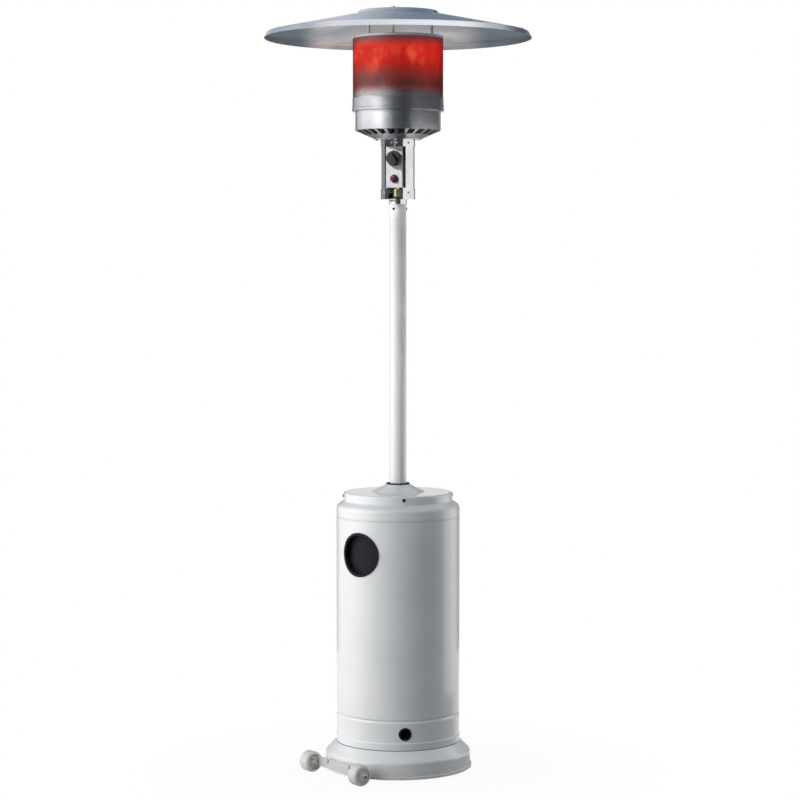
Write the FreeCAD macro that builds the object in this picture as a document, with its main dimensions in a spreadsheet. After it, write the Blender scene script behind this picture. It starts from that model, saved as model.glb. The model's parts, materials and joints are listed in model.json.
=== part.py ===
import FreeCAD, Part
import math
import operator
import os
import Sketcher

# A free-standing mushroom patio heater: bottle housing on a round base, post, controls, burner and hat.
# Frame: millimetres, +Z up, origin on the post's axis at the floor, controls facing -Y.
# An azimuth is counted from the front, -Y, towards +X.

DRIVING_SIZES = {
    # Gaps between pieces
    "slide_gap": 0.3,
    "snug_gap": 0.1,
    "screw_gap": 0.2,
    "spigot_gap": 0.8,
    "axle_gap": 0.15,
    # Feet and pan
    "foot_count": 4,
    "foot_height": 12.0,
    "foot_radius": 16.0,
    "foot_taper": 3.0,
    "foot_inset": 61.5,
    "foot_azimuth": 45.0,
    "pan_sheet": 2.0,
    "pan_rim_width": 3.5,
    "pan_rim_height": 7.0,
    "pan_rim_round": 1.5,
    # Base cover
    "base_sheet": 1.2,
    "base_wall_height": 46.0,
    "base_slope_run": 30.5,
    "base_slope_rise": 30.5,
    "base_crease_round": 10.0,
    "base_ledge_width": 3.0,
    "seat_setback": 0.2,
    "seat_rise": 1.7,
    "base_spigot_height": 14.0,
    # Bottle housing
    "housing_radius": 186.0,
    "housing_sheet": 1.2,
    "housing_headroom": 34.0,
    "hem_height": 19.5,
    "hem_depth": 1.5,
    "hem_blend": 3.0,
    "swage_height": 86.0,
    "swage_depth": 3.0,
    "swage_width": 12.0,
    # Housing lid
    "lid_sheet": 1.2,
    "lid_spigot_depth": 12.0,
    "lid_seam": 0.9,
    "lid_wall_height": 33.0,
    "lid_round": 16.0,
    "lid_lip_inset": 22.0,
    "lid_shoulder_rise": 14.0,
    "lid_lip_height": 26.0,
    "lid_lip_round": 5.0,
    "lid_cone_run": 45.0,
    "lid_cone_rise": 23.0,
    "lid_hole_margin": 10.0,
    "grommet_width": 10.0,
    "grommet_height": 4.0,
    "grommet_round": 1.5,
    "lid_screw_drop": 11.0,
    "lid_screw_count": 4,
    "lid_screw_azimuth": 18.5,
    "lid_screw_head_radius": 5.0,
    "lid_screw_head_height": 2.5,
    "lid_screw_radius": 2.5,
    "lid_screw_length": 9.0,
    # Grip cups and vent bush in the housing
    "grip_azimuth": -26.0,
    "grip_drop": 102.0,
    "grip_radius": 66.0,
    "grip_flange_width": 5.0,
    "grip_flange_proud": 3.0,
    "grip_wall": 2.2,
    "grip_depth": 18.0,
    "vent_azimuth": 19.0,
    "vent_height": 48.8,
    "vent_radius": 19.5,
    "vent_flange_width": 3.0,
    "vent_flange_proud": 1.5,
    "vent_wall": 1.8,
    "vent_depth": 6.0,
    # Legs and spider
    "leg_radius": 8.0,
    "leg_bore_radius": 6.0,
    "leg_plug_length": 20.0,
    "leg_length": 725.0,
    "leg_inset": 17.0,
    "leg_spread": 82.0,
    "leg_bolt_radius": 4.0,
    "leg_bolt_length": 16.0,
    "leg_bolt_head_radius": 6.5,
    "leg_bolt_head_height": 5.0,
    "spider_sheet": 3.0,
    "spider_hub_radius": 64.0,
    "spider_arm_width": 24.0,
    "spider_arm_margin": 9.0,
    # Post
    "post_radius": 25.0,
    "post_wall": 2.0,
    "post_length": 970.0,
    "post_flange_radius": 60.0,
    "post_flange_sheet": 4.0,
    "flange_bolt_count": 4,
    "flange_bolt_circle": 44.0,
    "flange_bolt_radius": 3.0,
    "flange_nut_radius": 5.5,
    "flange_nut_height": 5.0,
    "post_screw_count": 3,
    "post_screw_azimuth": -18.0,
    "post_screw_drop": 14.0,
    "post_screw_radius": 2.0,
    "post_screw_head_radius": 4.0,
    "post_screw_head_height": 2.2,
    # Wheels
    "wheel_azimuth": -40.0,
    "wheel_radius": 31.0,
    "wheel_width": 38.0,
    "wheel_gauge": 246.0,
    "wheel_play": 1.0,
    "wheel_hub_radius": 12.0,
    "wheel_rim": 8.0,
    "wheel_recess": 6.0,
    "wheel_round": 7.0,
    "axle_height": 32.5,
    "axle_radius": 4.0,
    "axle_stand_off": 14.4,
    "axle_head_radius": 7.0,
    "axle_head_height": 4.0,
    "axle_head_round": 1.5,
    "axle_cap_radius": 7.0,
    "axle_cap_length": 11.0,
    "axle_cap_depth": 6.0,
    "axle_cap_round": 3.0,
    "bracket_sheet": 2.5,
    "bracket_floor": 20.0,
    "bracket_height": 30.0,
    "bracket_ear_reach": 23.0,
    "bracket_foot_length": 61.0,
    "bracket_bolt_spread": 54.0,
    "bracket_bolt_rise": 23.2,
    "bracket_bolt_radius": 4.0,
    "bracket_bolt_head_radius": 6.0,
    "bracket_bolt_head_height": 4.5,
    "bracket_bolt_round": 2.0,
    "bracket_spacer_radius": 6.0,
    "bracket_nut_radius": 6.5,
    "bracket_nut_height": 6.0,
    "bracket_nut_clearance": 3.0,
    # Neck and head column
    "neck_radius": 27.0,
    "neck_height": 14.0,
    "neck_bore_radius": 20.0,
    "neck_spigot_length": 24.0,
    "neck_floor_sheet": 2.0,
    "neck_cup_height": 24.0,
    "cup_wall": 2.0,
    "column_radius": 50.0,
    "column_sheet": 1.0,
    "column_height": 177.0,
    "band_sheet": 1.5,
    "lower_band_height": 30.0,
    "upper_band_height": 22.0,
    "opening_width": 40.0,
    "opening_sill": 1.0,
    "window_margin": 7.0,
    "band_screw_count": 4,
    "band_screw_azimuth": 50.0,
    "band_screw_radius": 1.8,
    "band_screw_head_radius": 3.2,
    "band_screw_head_height": 1.6,
    "lower_screw_rise": 18.0,
    "upper_screw_drop": 11.0,
    "head_cup_height": 18.0,
    "head_flange_sheet": 2.0,
    # Control plate and what it holds
    "plate_width": 50.0,
    "plate_height": 122.0,
    "plate_sheet": 1.5,
    "plate_stand_out": 2.0,
    "plate_return": 12.0,
    "plate_bend": 1.8,
    "plate_headroom": 1.0,
    "plate_tab_width": 24.0,
    "plate_tab_height": 18.0,
    "plate_screw_spread": 16.0,
    "valve_drop": 35.0,
    "valve_width": 32.0,
    "valve_height": 36.0,
    "valve_front_gap": 14.5,
    "valve_depth": 46.0,
    "valve_neck_radius": 9.0,
    "spindle_radius": 4.0,
    "spindle_insertion": 22.0,
    "spindle_grip_depth": 18.0,
    "push_travel": 5.0,
    "push_margin": 0.8,
    "knob_radius": 23.0,
    "knob_skirt": 9.0,
    "knob_reach": 28.0,
    "knob_bar_width": 12.0,
    "knob_bar_margin": 2.0,
    "knob_bar_turn": 24.0,
    "knob_taper": 2.5,
    "knob_round": 2.0,
    "knob_skirt_edge": 3.6,
    "knob_bar_round": 4.8,
    "igniter_drop": 95.0,
    "bezel_radius": 12.0,
    "bezel_height": 3.0,
    "bezel_round": 1.0,
    "barrel_radius": 10.2,
    "igniter_nut_radius": 13.0,
    "igniter_nut_height": 4.0,
    "igniter_length": 38.0,
    "button_radius": 8.0,
    "button_proud": 6.5,
    "button_stem": 20.0,
    "button_round": 3.0,
    "press_travel": 6.0,
    "press_margin": 2.0,
    "inlet_radius": 8.3,
    "inlet_length": 17.0,
    "inlet_hex_radius": 17.0,
    "inlet_hex_height": 24.0,
    "inlet_hex_clearance": 5.0,
    "nipple_radius": 6.0,
    "tilt_switch_width": 16.0,
    "tilt_switch_height": 20.0,
    "tilt_switch_depth": 18.0,
    "tilt_switch_offset": 2.0,
    # Burner
    "head_azimuth": 5.0,
    "gas_tube_radius": 5.0,
    "injector_radius": 8.0,
    "injector_height": 18.0,
    "injector_rise": 6.0,
    "bowl_radius": 128.0,
    "bowl_sheet": 1.2,
    "bowl_floor_radius": 72.0,
    "bowl_cone_rise": 25.0,
    "bowl_wall_height": 57.0,
    "bowl_hole_radius": 18.0,
    "slot_count": 24,
    "slot_width": 9.0,
    "slot_inset": 2.5,
    "slot_length": 28.0,
    "bowl_screw_count": 4,
    "bowl_screw_circle": 64.0,
    "bowl_screw_radius": 2.0,
    "bowl_screw_head_radius": 4.0,
    "bowl_screw_head_height": 2.5,
    "bowl_screw_length": 9.0,
    "burner_sheet": 1.5,
    "burner_foot_radius": 40.0,
    "burner_throat_radius": 24.0,
    "burner_throat_height": 40.0,
    "burner_dish_radius": 106.0,
    "burner_dish_rise": 36.0,
    "burner_rim_height": 10.0,
    "burner_port_count": 16,
    "burner_port_radius": 5.0,
    "burner_port_circle": 86.0,
    "burner_plate_sheet": 2.0,
    "pilot_radius": 6.0,
    "pilot_height": 22.0,
    "pilot_circle": 60.0,
    "pilot_azimuth": 10.0,
    "probe_radius": 2.5,
    "probe_height": 34.0,
    "probe_azimuth": 30.0,
    # Emitter
    "collar_radius": 136.5,
    "collar_sheet": 1.2,
    "collar_height": 37.0,
    "collar_bead": 1.2,
    "collar_bead_height": 8.0,
    "collar_screw_count": 4,
    "collar_screw_rise": 15.0,
    "collar_screw_radius": 1.8,
    "collar_screw_head_radius": 3.5,
    "collar_screw_head_height": 1.8,
    "screen_sheet": 0.8,
    "screen_height": 220.0,
    "cap_sheet": 1.2,
    "cap_lip": 6.0,
    # Hat and its studs
    "stud_count": 3,
    "stud_circle": 111.0,
    "stud_radius": 4.0,
    "stud_length": 73.1,
    "stud_thread_radius": 3.0,
    "stud_thread_length": 3.0,
    "washer_radius": 5.2,
    "washer_sheet": 1.0,
    "stud_nut_radius": 6.0,
    "stud_nut_height": 2.4,
    "hat_radius": 400.0,
    "hat_sheet": 1.2,
    "hat_lip_run": 7.0,
    "hat_lip_height": 16.0,
    "hat_fall": 56.0,
    "hat_round": 8.0,
    "crown_height": 8.7,
    "crown_radius": 117.5,
    "crown_flank": 6.0,
    "crown_round": 2.0,
    "loop_azimuth": 100.0,
    "loop_inset": 30.0,
    "loop_width": 16.0,
    "loop_height": 12.0,
    "loop_wire_radius": 1.25,
}

OPERATIONS = {"+": operator.add, "-": operator.sub, "*": operator.mul, "/": operator.truediv}
UP = FreeCAD.Vector(0, 0, 1)
LEFT = 1
RIGHT = -1
AXIS_MARK = 10
LEAST_ROUND = 0.05
HEAD_ROUNDING = 0.6
TIP_ROUNDING = 0.5
EDGE_ROUNDING = 0.8


class Size:
    """A size that carries its number and the expression that gives it from the sheet's cells."""

    def __init__(self, number, text):
        self.number = number
        self.text = text

    def __add__(self, other):
        return combine(self, "+", other)

    def __radd__(self, other):
        return combine(other, "+", self)

    def __sub__(self, other):
        return combine(self, "-", other)

    def __rsub__(self, other):
        return combine(other, "-", self)

    def __mul__(self, other):
        return combine(self, "*", other)

    def __rmul__(self, other):
        return combine(other, "*", self)

    def __truediv__(self, other):
        return combine(self, "/", other)

    def __neg__(self):
        return combine(0, "-", self)


def as_size(value):
    """The value as a Size; a bare number is its own expression."""
    if isinstance(value, Size):
        return value
    return Size(float(value), repr(float(value)))


def combine(first, sign, second):
    """The Size that the operation gives, with its expression."""
    first = as_size(first)
    second = as_size(second)
    number = OPERATIONS[sign](first.number, second.number)
    return Size(number, f"({first.text} {sign} {second.text})")


class SizeSheet:
    """The driving sizes in a spreadsheet, each read as an attribute of this object."""

    def __init__(self, document, sizes):
        self.sheet = document.addObject("Spreadsheet::Sheet", "Sizes")
        for row, (name, number) in enumerate(sizes.items(), start=1):
            self.sheet.set(f"A{row}", name)
            self.sheet.set(f"B{row}", str(number))
            self.sheet.setAlias(f"B{row}", name)
        document.recompute()

    def __getattr__(self, name):
        return Size(float(self.sheet.get(name)), f"Sizes.{name}")


doc = FreeCAD.newDocument("patio_heater")
size = SizeSheet(doc, DRIVING_SIZES)
pieces = []


# Sketches

def bind(item, path, value):
    """Tie a property or constraint of a document object to a size."""
    item.setExpression(path, as_size(value).text)


def origin_item(body, role):
    """The body's own origin plane or axis with this role."""
    return next(item for item in body.Origin.OriginFeatures if item.Role == role)


def new_sketch(body, name, plane="XZ_Plane", lift=0, azimuth=None):
    """A sketch on one of the body's origin planes, lifted along its normal or turned to an azimuth."""
    sketch = body.newObject("Sketcher::SketchObject", name)
    sketch.AttachmentSupport = [(origin_item(body, plane), "")]
    sketch.MapMode = "FlatFace"
    if azimuth is not None:
        turn_angle = as_size(azimuth) - 90
        turned = FreeCAD.Rotation(FreeCAD.Vector(0, 1, 0), turn_angle.number)
        sketch.AttachmentOffset = FreeCAD.Placement(FreeCAD.Vector(), turned)
        bind(sketch, "AttachmentOffset.Rotation.Angle", turn_angle)
    else:
        sketch.AttachmentOffset = FreeCAD.Placement(UP * as_size(lift).number, FreeCAD.Rotation())
        bind(sketch, "AttachmentOffset.Base.z", lift)
    return sketch


def constrain(sketch, value, *description):
    """Add one dimension to the sketch and tie it to a size."""
    value = as_size(value)
    index = sketch.addConstraint(Sketcher.Constraint(*description, value.number))
    bind(sketch, f"Constraints[{index}]", value)


def pin_point(sketch, point, across, up):
    """Hold a point of the sketch at its distances from the sketch's origin."""
    constrain(sketch, across, "DistanceX", -1, 1, *point)
    constrain(sketch, up, "DistanceY", -1, 1, *point)


def rounding(before, corner, after, radius):
    """Where a rounding arc leaves the first side and joins the second, its centre, and its sense."""
    back = (before - corner).normalize()
    ahead = (after - corner).normalize()
    half = back.getAngle(ahead) / 2
    reach = radius / math.tan(half)
    centre = corner + (back + ahead).normalize() * (radius / math.sin(half))
    turns_left = (corner - before).cross(after - corner).z > 0
    return corner + back * reach, corner + ahead * reach, centre, turns_left


def add_arc(sketch, entry, leave, centre, turns_left, radius):
    """Add a rounding arc; returns its number and which of its ends are the entry and the exit."""
    first, last = (entry, leave) if turns_left else (leave, entry)
    start = math.atan2(first.y - centre.y, first.x - centre.x)
    end = math.atan2(last.y - centre.y, last.x - centre.x)
    if end < start:
        end += 2 * math.pi
    arc = sketch.addGeometry(Part.ArcOfCircle(Part.Circle(centre, UP, radius), start, end), False)
    return (arc, 1, 2) if turns_left else (arc, 2, 1)


def trace(sketch, corners):
    """Draw a closed chain of lines through corners (across, up[, rounding]).

    Returns the lines and, for each corner, the point that marks it: a line's start or, where the corner is
    rounded, a construction point that both lines aim at."""
    spots = [FreeCAD.Vector(as_size(c[0]).number, as_size(c[1]).number, 0) for c in corners]
    radii = [as_size(c[2]) if len(c) > 2 else None for c in corners]
    count = len(corners)
    bends = []
    for i, radius in enumerate(radii):
        if radius is None:
            bends.append((spots[i], spots[i], None, None))
        else:
            bends.append(rounding(spots[i - 1], spots[i], spots[(i + 1) % count], radius.number))
    lines = []
    for i in range(count):
        segment = Part.LineSegment(bends[i][1], bends[(i + 1) % count][0])
        lines.append(sketch.addGeometry(segment, False))
    marks = []
    for i, radius in enumerate(radii):
        if radius is None:
            sketch.addConstraint(Sketcher.Constraint("Coincident", lines[i - 1], 2, lines[i], 1))
            marks.append((lines[i], 1))
            continue
        arc, entry_end, exit_end = add_arc(sketch, *bends[i], radius.number)
        sketch.addConstraint(Sketcher.Constraint("Tangent", lines[i - 1], 2, arc, entry_end))
        sketch.addConstraint(Sketcher.Constraint("Tangent", arc, exit_end, lines[i], 1))
        constrain(sketch, radius, "Radius", arc)
        corner_point = sketch.addGeometry(Part.Point(spots[i]), True)
        sketch.addConstraint(Sketcher.Constraint("PointOnObject", corner_point, 1, lines[i - 1]))
        sketch.addConstraint(Sketcher.Constraint("PointOnObject", corner_point, 1, lines[i]))
        marks.append((corner_point, 1))
    return lines, marks


def draw_outline(sketch, corners):
    """A closed outline with every corner held at its sizes."""
    marks = trace(sketch, corners)[1]
    for corner, mark in zip(corners, marks):
        pin_point(sketch, mark, corner[0], corner[1])


def draw_sheet(sketch, path, sheet, side):
    """The section of a bent sheet: one face follows the path, the other lies a sheet to its side."""
    spots = [FreeCAD.Vector(as_size(c[0]).number, as_size(c[1]).number, 0) for c in path]
    headings = [(after - before).normalize() for before, after in zip(spots, spots[1:])]
    normals = [UP.cross(heading) * side for heading in headings]
    last = len(path) - 1
    far_side = []
    for i, spot in enumerate(spots):
        first, second = normals[max(i - 1, 0)], normals[min(i, last - 1)]
        shift = (first + second) * (sheet.number / (1 + first.dot(second)))
        corner = [spot.x + shift.x, spot.y + shift.y]
        if len(path[i]) > 2:
            inside_bend = headings[i - 1].cross(headings[i]).z * side > 0
            radius = path[i][2] - sheet if inside_bend else path[i][2] + sheet
            if radius.number > LEAST_ROUND:
                corner.append(radius)
        far_side.append(corner)
    lines, marks = trace(sketch, list(path) + far_side[::-1])
    for corner, mark in zip(path, marks):
        pin_point(sketch, mark, corner[0], corner[1])
    for i, mark in enumerate(reversed(marks[last + 1:])):
        if 0 < i < last:
            constrain(sketch, sheet, "Distance", *mark, lines[i - 1])
            constrain(sketch, sheet, "Distance", *mark, lines[i])
        else:
            near_line, end_line = (lines[0], lines[-1]) if i == 0 else (lines[last - 1], lines[last])
            sketch.addConstraint(Sketcher.Constraint("Perpendicular", near_line, end_line))
            constrain(sketch, sheet, "Distance", *mark, near_line)


def draw_circles(sketch, circles):
    """Circles, each (across, up, radius)."""
    for across, up, radius in circles:
        centre = FreeCAD.Vector(as_size(across).number, as_size(up).number, 0)
        ring = sketch.addGeometry(Part.Circle(centre, UP, as_size(radius).number), False)
        pin_point(sketch, (ring, 3), across, up)
        constrain(sketch, radius, "Radius", ring)


def box_corners(low_across, low_up, high_across, high_up):
    """The corners of an upright rectangle."""
    return [(low_across, low_up), (high_across, low_up), (high_across, high_up), (low_across, high_up)]


# Features

def new_body(name):
    """A body of its own for one node; a node of like fasteners holds several solids."""
    body = doc.addObject("PartDesign::Body", name)
    body.AllowCompound = True
    pieces.append(body)
    return body


def face_azimuth(item, azimuth):
    """Turn a piece about the post's axis so that its +X points at the azimuth."""
    turn_angle = as_size(azimuth) - 90
    item.Placement = FreeCAD.Placement(FreeCAD.Vector(), FreeCAD.Rotation(UP, turn_angle.number))
    bind(item, "Placement.Rotation.Angle", turn_angle)


def face_panel(body, depth, height, turn=0):
    """Lay a piece so that its +Z points out of the control plate, its foot this far in front of the axis."""
    lay_down = FreeCAD.Rotation(FreeCAD.Vector(1, 0, 0), 90)
    spin = FreeCAD.Rotation(UP, as_size(turn).number)
    spot = FreeCAD.Vector(0, -as_size(depth).number, as_size(height).number)
    body.Placement = FreeCAD.Placement(spot, lay_down * spin)
    bind(body, "Placement.Base.y", -as_size(depth))
    bind(body, "Placement.Base.z", height)


def spin_section(body, name, sketch):
    """Revolve a sketch a full turn about its one construction line."""
    feature = body.newObject("PartDesign::Revolution", name)
    feature.Profile = sketch
    feature.ReferenceAxis = (sketch, ["Axis0"])
    feature.Angle = 360
    return feature


def axis_line(sketch, along, place):
    """A construction line for the axis, upright or across, at its place."""
    ends = [(place, 0), (place, AXIS_MARK)] if along == "up" else [(0, place), (AXIS_MARK, place)]
    spots = [FreeCAD.Vector(as_size(a).number, as_size(u).number, 0) for a, u in ends]
    line = sketch.addGeometry(Part.LineSegment(*spots), True)
    for end, (across, up) in enumerate(ends, start=1):
        pin_point(sketch, (line, end), across, up)


def turned(body, name, corners, along="up", place=0, plane="XZ_Plane", lift=0):
    """A turned solid from a closed section."""
    sketch = new_sketch(body, name + "_section", plane, lift)
    axis_line(sketch, along, place)
    draw_outline(sketch, corners)
    return spin_section(body, name, sketch)


def turned_sheet(body, name, path, sheet, side):
    """A spun sheet-metal shell about the post's axis."""
    sketch = new_sketch(body, name + "_section")
    axis_line(sketch, "up", 0)
    draw_sheet(sketch, path, sheet, side)
    return spin_section(body, name, sketch)


def pad(body, name, sketch, length, symmetric=False, reverse=False):
    """Add a straight run of the sketch."""
    feature = body.newObject("PartDesign::Pad", name)
    feature.Profile = sketch
    feature.Reversed = reverse
    if symmetric:
        feature.SideType = "Symmetric"
    bind(feature, "Length", length)
    return feature


def cut(body, name, sketch, length, symmetric=False, reverse=False):
    """Cut a straight run of the sketch, and make sure that it took material away."""
    doc.recompute()
    before = body.Shape.Volume
    feature = body.newObject("PartDesign::Pocket", name)
    feature.Profile = sketch
    feature.Reversed = reverse
    if symmetric:
        feature.SideType = "Symmetric"
    bind(feature, "Length", length)
    doc.recompute()
    if not body.Shape.Volume < before:
        raise RuntimeError(f"{body.Label}: {name} cuts nothing")
    return feature


def around(body, name, feature, count, angle=360):
    """Repeat a feature about the post's axis."""
    pattern = body.newObject("PartDesign::PolarPattern", name)
    pattern.Originals = [feature]
    pattern.Axis = (origin_item(body, "Z_Axis"), [""])
    bind(pattern, "Angle", angle)
    bind(pattern, "Occurrences", count)
    body.Tip = pattern
    doc.recompute()
    return pattern


def radial_holes(body, name, azimuth, height, radius, reach, count=None):
    """Drill a hole straight out from the axis at an azimuth, and repeat it evenly."""
    sketch = new_sketch(body, name + "_mark", "YZ_Plane", azimuth=azimuth)
    draw_circles(sketch, [(0, height, radius)])
    hole = cut(body, name, sketch, reach, reverse=True)
    if count is not None:
        around(body, name + "_ring", hole, count)


def upright_holes(body, name, circle, radius, low, depth, count, azimuth=90):
    """Drill upright holes on a circle, from a level upwards, the first one at an azimuth."""
    sketch = new_sketch(body, name + "_mark", "XY_Plane", lift=low)
    draw_circles(sketch, [(*on_circle(circle, azimuth), radius)])
    hole = cut(body, name, sketch, depth, reverse=True)
    around(body, name + "_ring", hole, count)


def radial_screws(body, name, seat, height, head_radius, head_height, shank_radius, shank_length, count):
    """Screws around the axis, heads outwards on a round seat."""
    tail = seat - shank_length
    crown = seat + head_height
    corners = [
        (tail, height),
        (crown, height),
        (crown, height + head_radius, head_height * HEAD_ROUNDING),
        (seat, height + head_radius),
        (seat, height + shank_radius),
        (tail, height + shank_radius),
    ]
    screw = turned(body, name, corners, along="across", place=height)
    around(body, name + "_ring", screw, count)


def upright_screws(body, name, circle, seat, head_radius, head_height, shank_radius, shank_length, count):
    """Upright bolts on a circle; a negative head height points the heads down and the shanks up."""
    head = seat + head_height
    tip = seat - shank_length
    corners = [
        (circle, tip),
        (circle + shank_radius, tip),
        (circle + shank_radius, seat),
        (circle + head_radius, seat),
        (circle + head_radius, head),
        (circle, head),
    ]
    bolt = turned(body, name, corners, place=circle)
    if count is not None:
        around(body, name + "_ring", bolt, count)
    return bolt


# Levels and radii that several pieces share

pan_floor = size.foot_height
pan_top = pan_floor + size.pan_sheet
ledge_radius = size.housing_radius + size.base_ledge_width
base_radius = ledge_radius + size.base_slope_run
pan_radius = base_radius + size.slide_gap + size.pan_rim_width
base_crease = pan_top + size.base_wall_height
base_ledge = base_crease + size.base_slope_rise
seat_level = base_ledge + size.seat_rise
spigot_radius = size.housing_radius - size.housing_sheet - size.spigot_gap
lid_lip_radius = size.housing_radius - size.lid_lip_inset
lid_hole_radius = size.post_radius + size.lid_hole_margin
leg_circle = size.housing_radius - size.leg_inset
leg_top = pan_top + size.leg_length
shell_top = leg_top + size.housing_headroom
lid_shoulder = shell_top + size.lid_wall_height
lid_lip_foot = lid_shoulder + size.lid_shoulder_rise
lid_top = lid_lip_foot + size.lid_lip_height
spider_top = leg_top + size.spider_sheet
post_top = spider_top + size.post_length
post_bore = size.post_radius - size.post_wall
post_screw_level = post_top - size.post_screw_drop
neck_top = post_top + size.neck_height
column_floor = neck_top + size.neck_floor_sheet
column_top = column_floor + size.column_height
column_bore = size.column_radius - size.column_sheet
cup_radius = column_bore - size.snug_gap
band_bore = size.column_radius + size.snug_gap
band_radius = band_bore + size.band_sheet
upper_band_foot = column_top - size.upper_band_height
lower_screw_level = column_floor + size.lower_screw_rise
upper_screw_level = column_top - size.upper_screw_drop
plate_front = size.column_radius + size.plate_stand_out
plate_back = plate_front - size.plate_sheet
plate_top = upper_band_foot - size.plate_headroom
plate_foot = plate_top - size.plate_height
valve_level = plate_top - size.valve_drop
valve_foot = valve_level - size.valve_height / 2
valve_head = valve_level + size.valve_height / 2
valve_face = plate_back - size.valve_front_gap
igniter_level = plate_top - size.igniter_drop
knob_back = plate_front + size.push_travel + size.push_margin
bowl_floor = column_top + size.head_flange_sheet
bowl_wall_foot = bowl_floor + size.bowl_cone_rise
bowl_top = bowl_wall_foot + size.bowl_wall_height
collar_bore = size.collar_radius - size.collar_sheet
screen_foot = bowl_top + size.collar_sheet
screen_radius = collar_bore - size.snug_gap
screen_top = screen_foot + size.screen_height
cap_top = screen_top + size.cap_sheet
crown_under = cap_top + size.stud_length + size.washer_sheet
crown_top = crown_under + size.hat_sheet
crown_foot_radius = size.crown_radius + size.crown_flank
crown_foot = crown_top - size.crown_height
hat_knee_radius = size.hat_radius - size.hat_lip_run
hat_knee = crown_foot - size.hat_fall
hat_edge = hat_knee - size.hat_lip_height
burner_seat = bowl_floor + size.bowl_sheet
burner_dish_foot = burner_seat + size.burner_throat_height
burner_dish_top = burner_dish_foot + size.burner_dish_rise
burner_rim = burner_dish_top + size.burner_rim_height
burner_plate_top = burner_rim + size.burner_plate_sheet
injector_foot = burner_seat + size.injector_rise
wheel_inner_face = size.wheel_gauge / 2 - size.wheel_width / 2
wheel_outer_face = size.wheel_gauge / 2 + size.wheel_width / 2
ear_face = wheel_inner_face - size.wheel_play
bracket_back = pan_radius + size.slide_gap
axle_line = bracket_back + size.axle_stand_off
bracket_bolt_level = size.bracket_floor + size.bracket_bolt_rise


# Base

def make_base():
    """Rubber feet, bottom pan and the painted ring cover."""
    circle = base_radius - size.foot_inset
    feet = new_body("base_feet")
    face_azimuth(feet, size.foot_azimuth)
    foot = turned(feet, "foot", [
        (circle, 0),
        (circle + size.foot_radius - size.foot_taper, 0),
        (circle + size.foot_radius, pan_floor),
        (circle, pan_floor),
    ], place=circle)
    around(feet, "foot_ring", foot, size.foot_count)

    pan = new_body("base_pan")
    rim_bore = base_radius + size.slide_gap
    rim_top = pan_top + size.pan_rim_height
    turned(pan, "pan", [
        (0, pan_floor),
        (pan_radius, pan_floor, size.pan_rim_round),
        (pan_radius, rim_top, size.pan_rim_round),
        (rim_bore, rim_top),
        (rim_bore, pan_top),
        (0, pan_top),
    ])
    for number, azimuth in enumerate((size.leg_spread, 180, -size.leg_spread)):
        sketch = new_sketch(pan, f"leg_hole_mark_{number}", "XY_Plane", lift=pan_floor)
        spot = on_circle(leg_circle, azimuth)
        draw_circles(sketch, [(*spot, size.leg_bolt_radius + size.screw_gap)])
        cut(pan, f"leg_hole_{number}", sketch, size.pan_sheet, reverse=True)

    cover = new_body("base_cover")
    seat_radius = size.housing_radius - size.seat_setback
    turned_sheet(cover, "cover", [
        (base_radius, pan_top),
        (base_radius, base_crease, size.base_crease_round),
        (ledge_radius, base_ledge),
        (seat_radius, base_ledge),
        (seat_radius, seat_level),
        (spigot_radius, seat_level),
        (spigot_radius, seat_level + size.base_spigot_height),
    ], size.base_sheet, LEFT)
    holes = new_sketch(cover, "bracket_hole_marks", "YZ_Plane", azimuth=size.wheel_azimuth)
    bolt_hole = size.bracket_bolt_radius + size.screw_gap
    spread = size.bracket_bolt_spread
    draw_circles(holes, [(side * spread, bracket_bolt_level, bolt_hole) for side in (LEFT, RIGHT)])
    cut(cover, "bracket_holes", holes, base_radius, reverse=True)


def on_circle(circle, azimuth):
    """X and Y of a point on a circle about the post's axis at an azimuth."""
    azimuth = as_size(azimuth)
    radians = math.radians(azimuth.number)
    across = Size(math.sin(radians), f"sin({azimuth.text})")
    along = Size(math.cos(radians), f"cos({azimuth.text})")
    return circle * across, -(circle * along)


# Frame inside the housing

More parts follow.
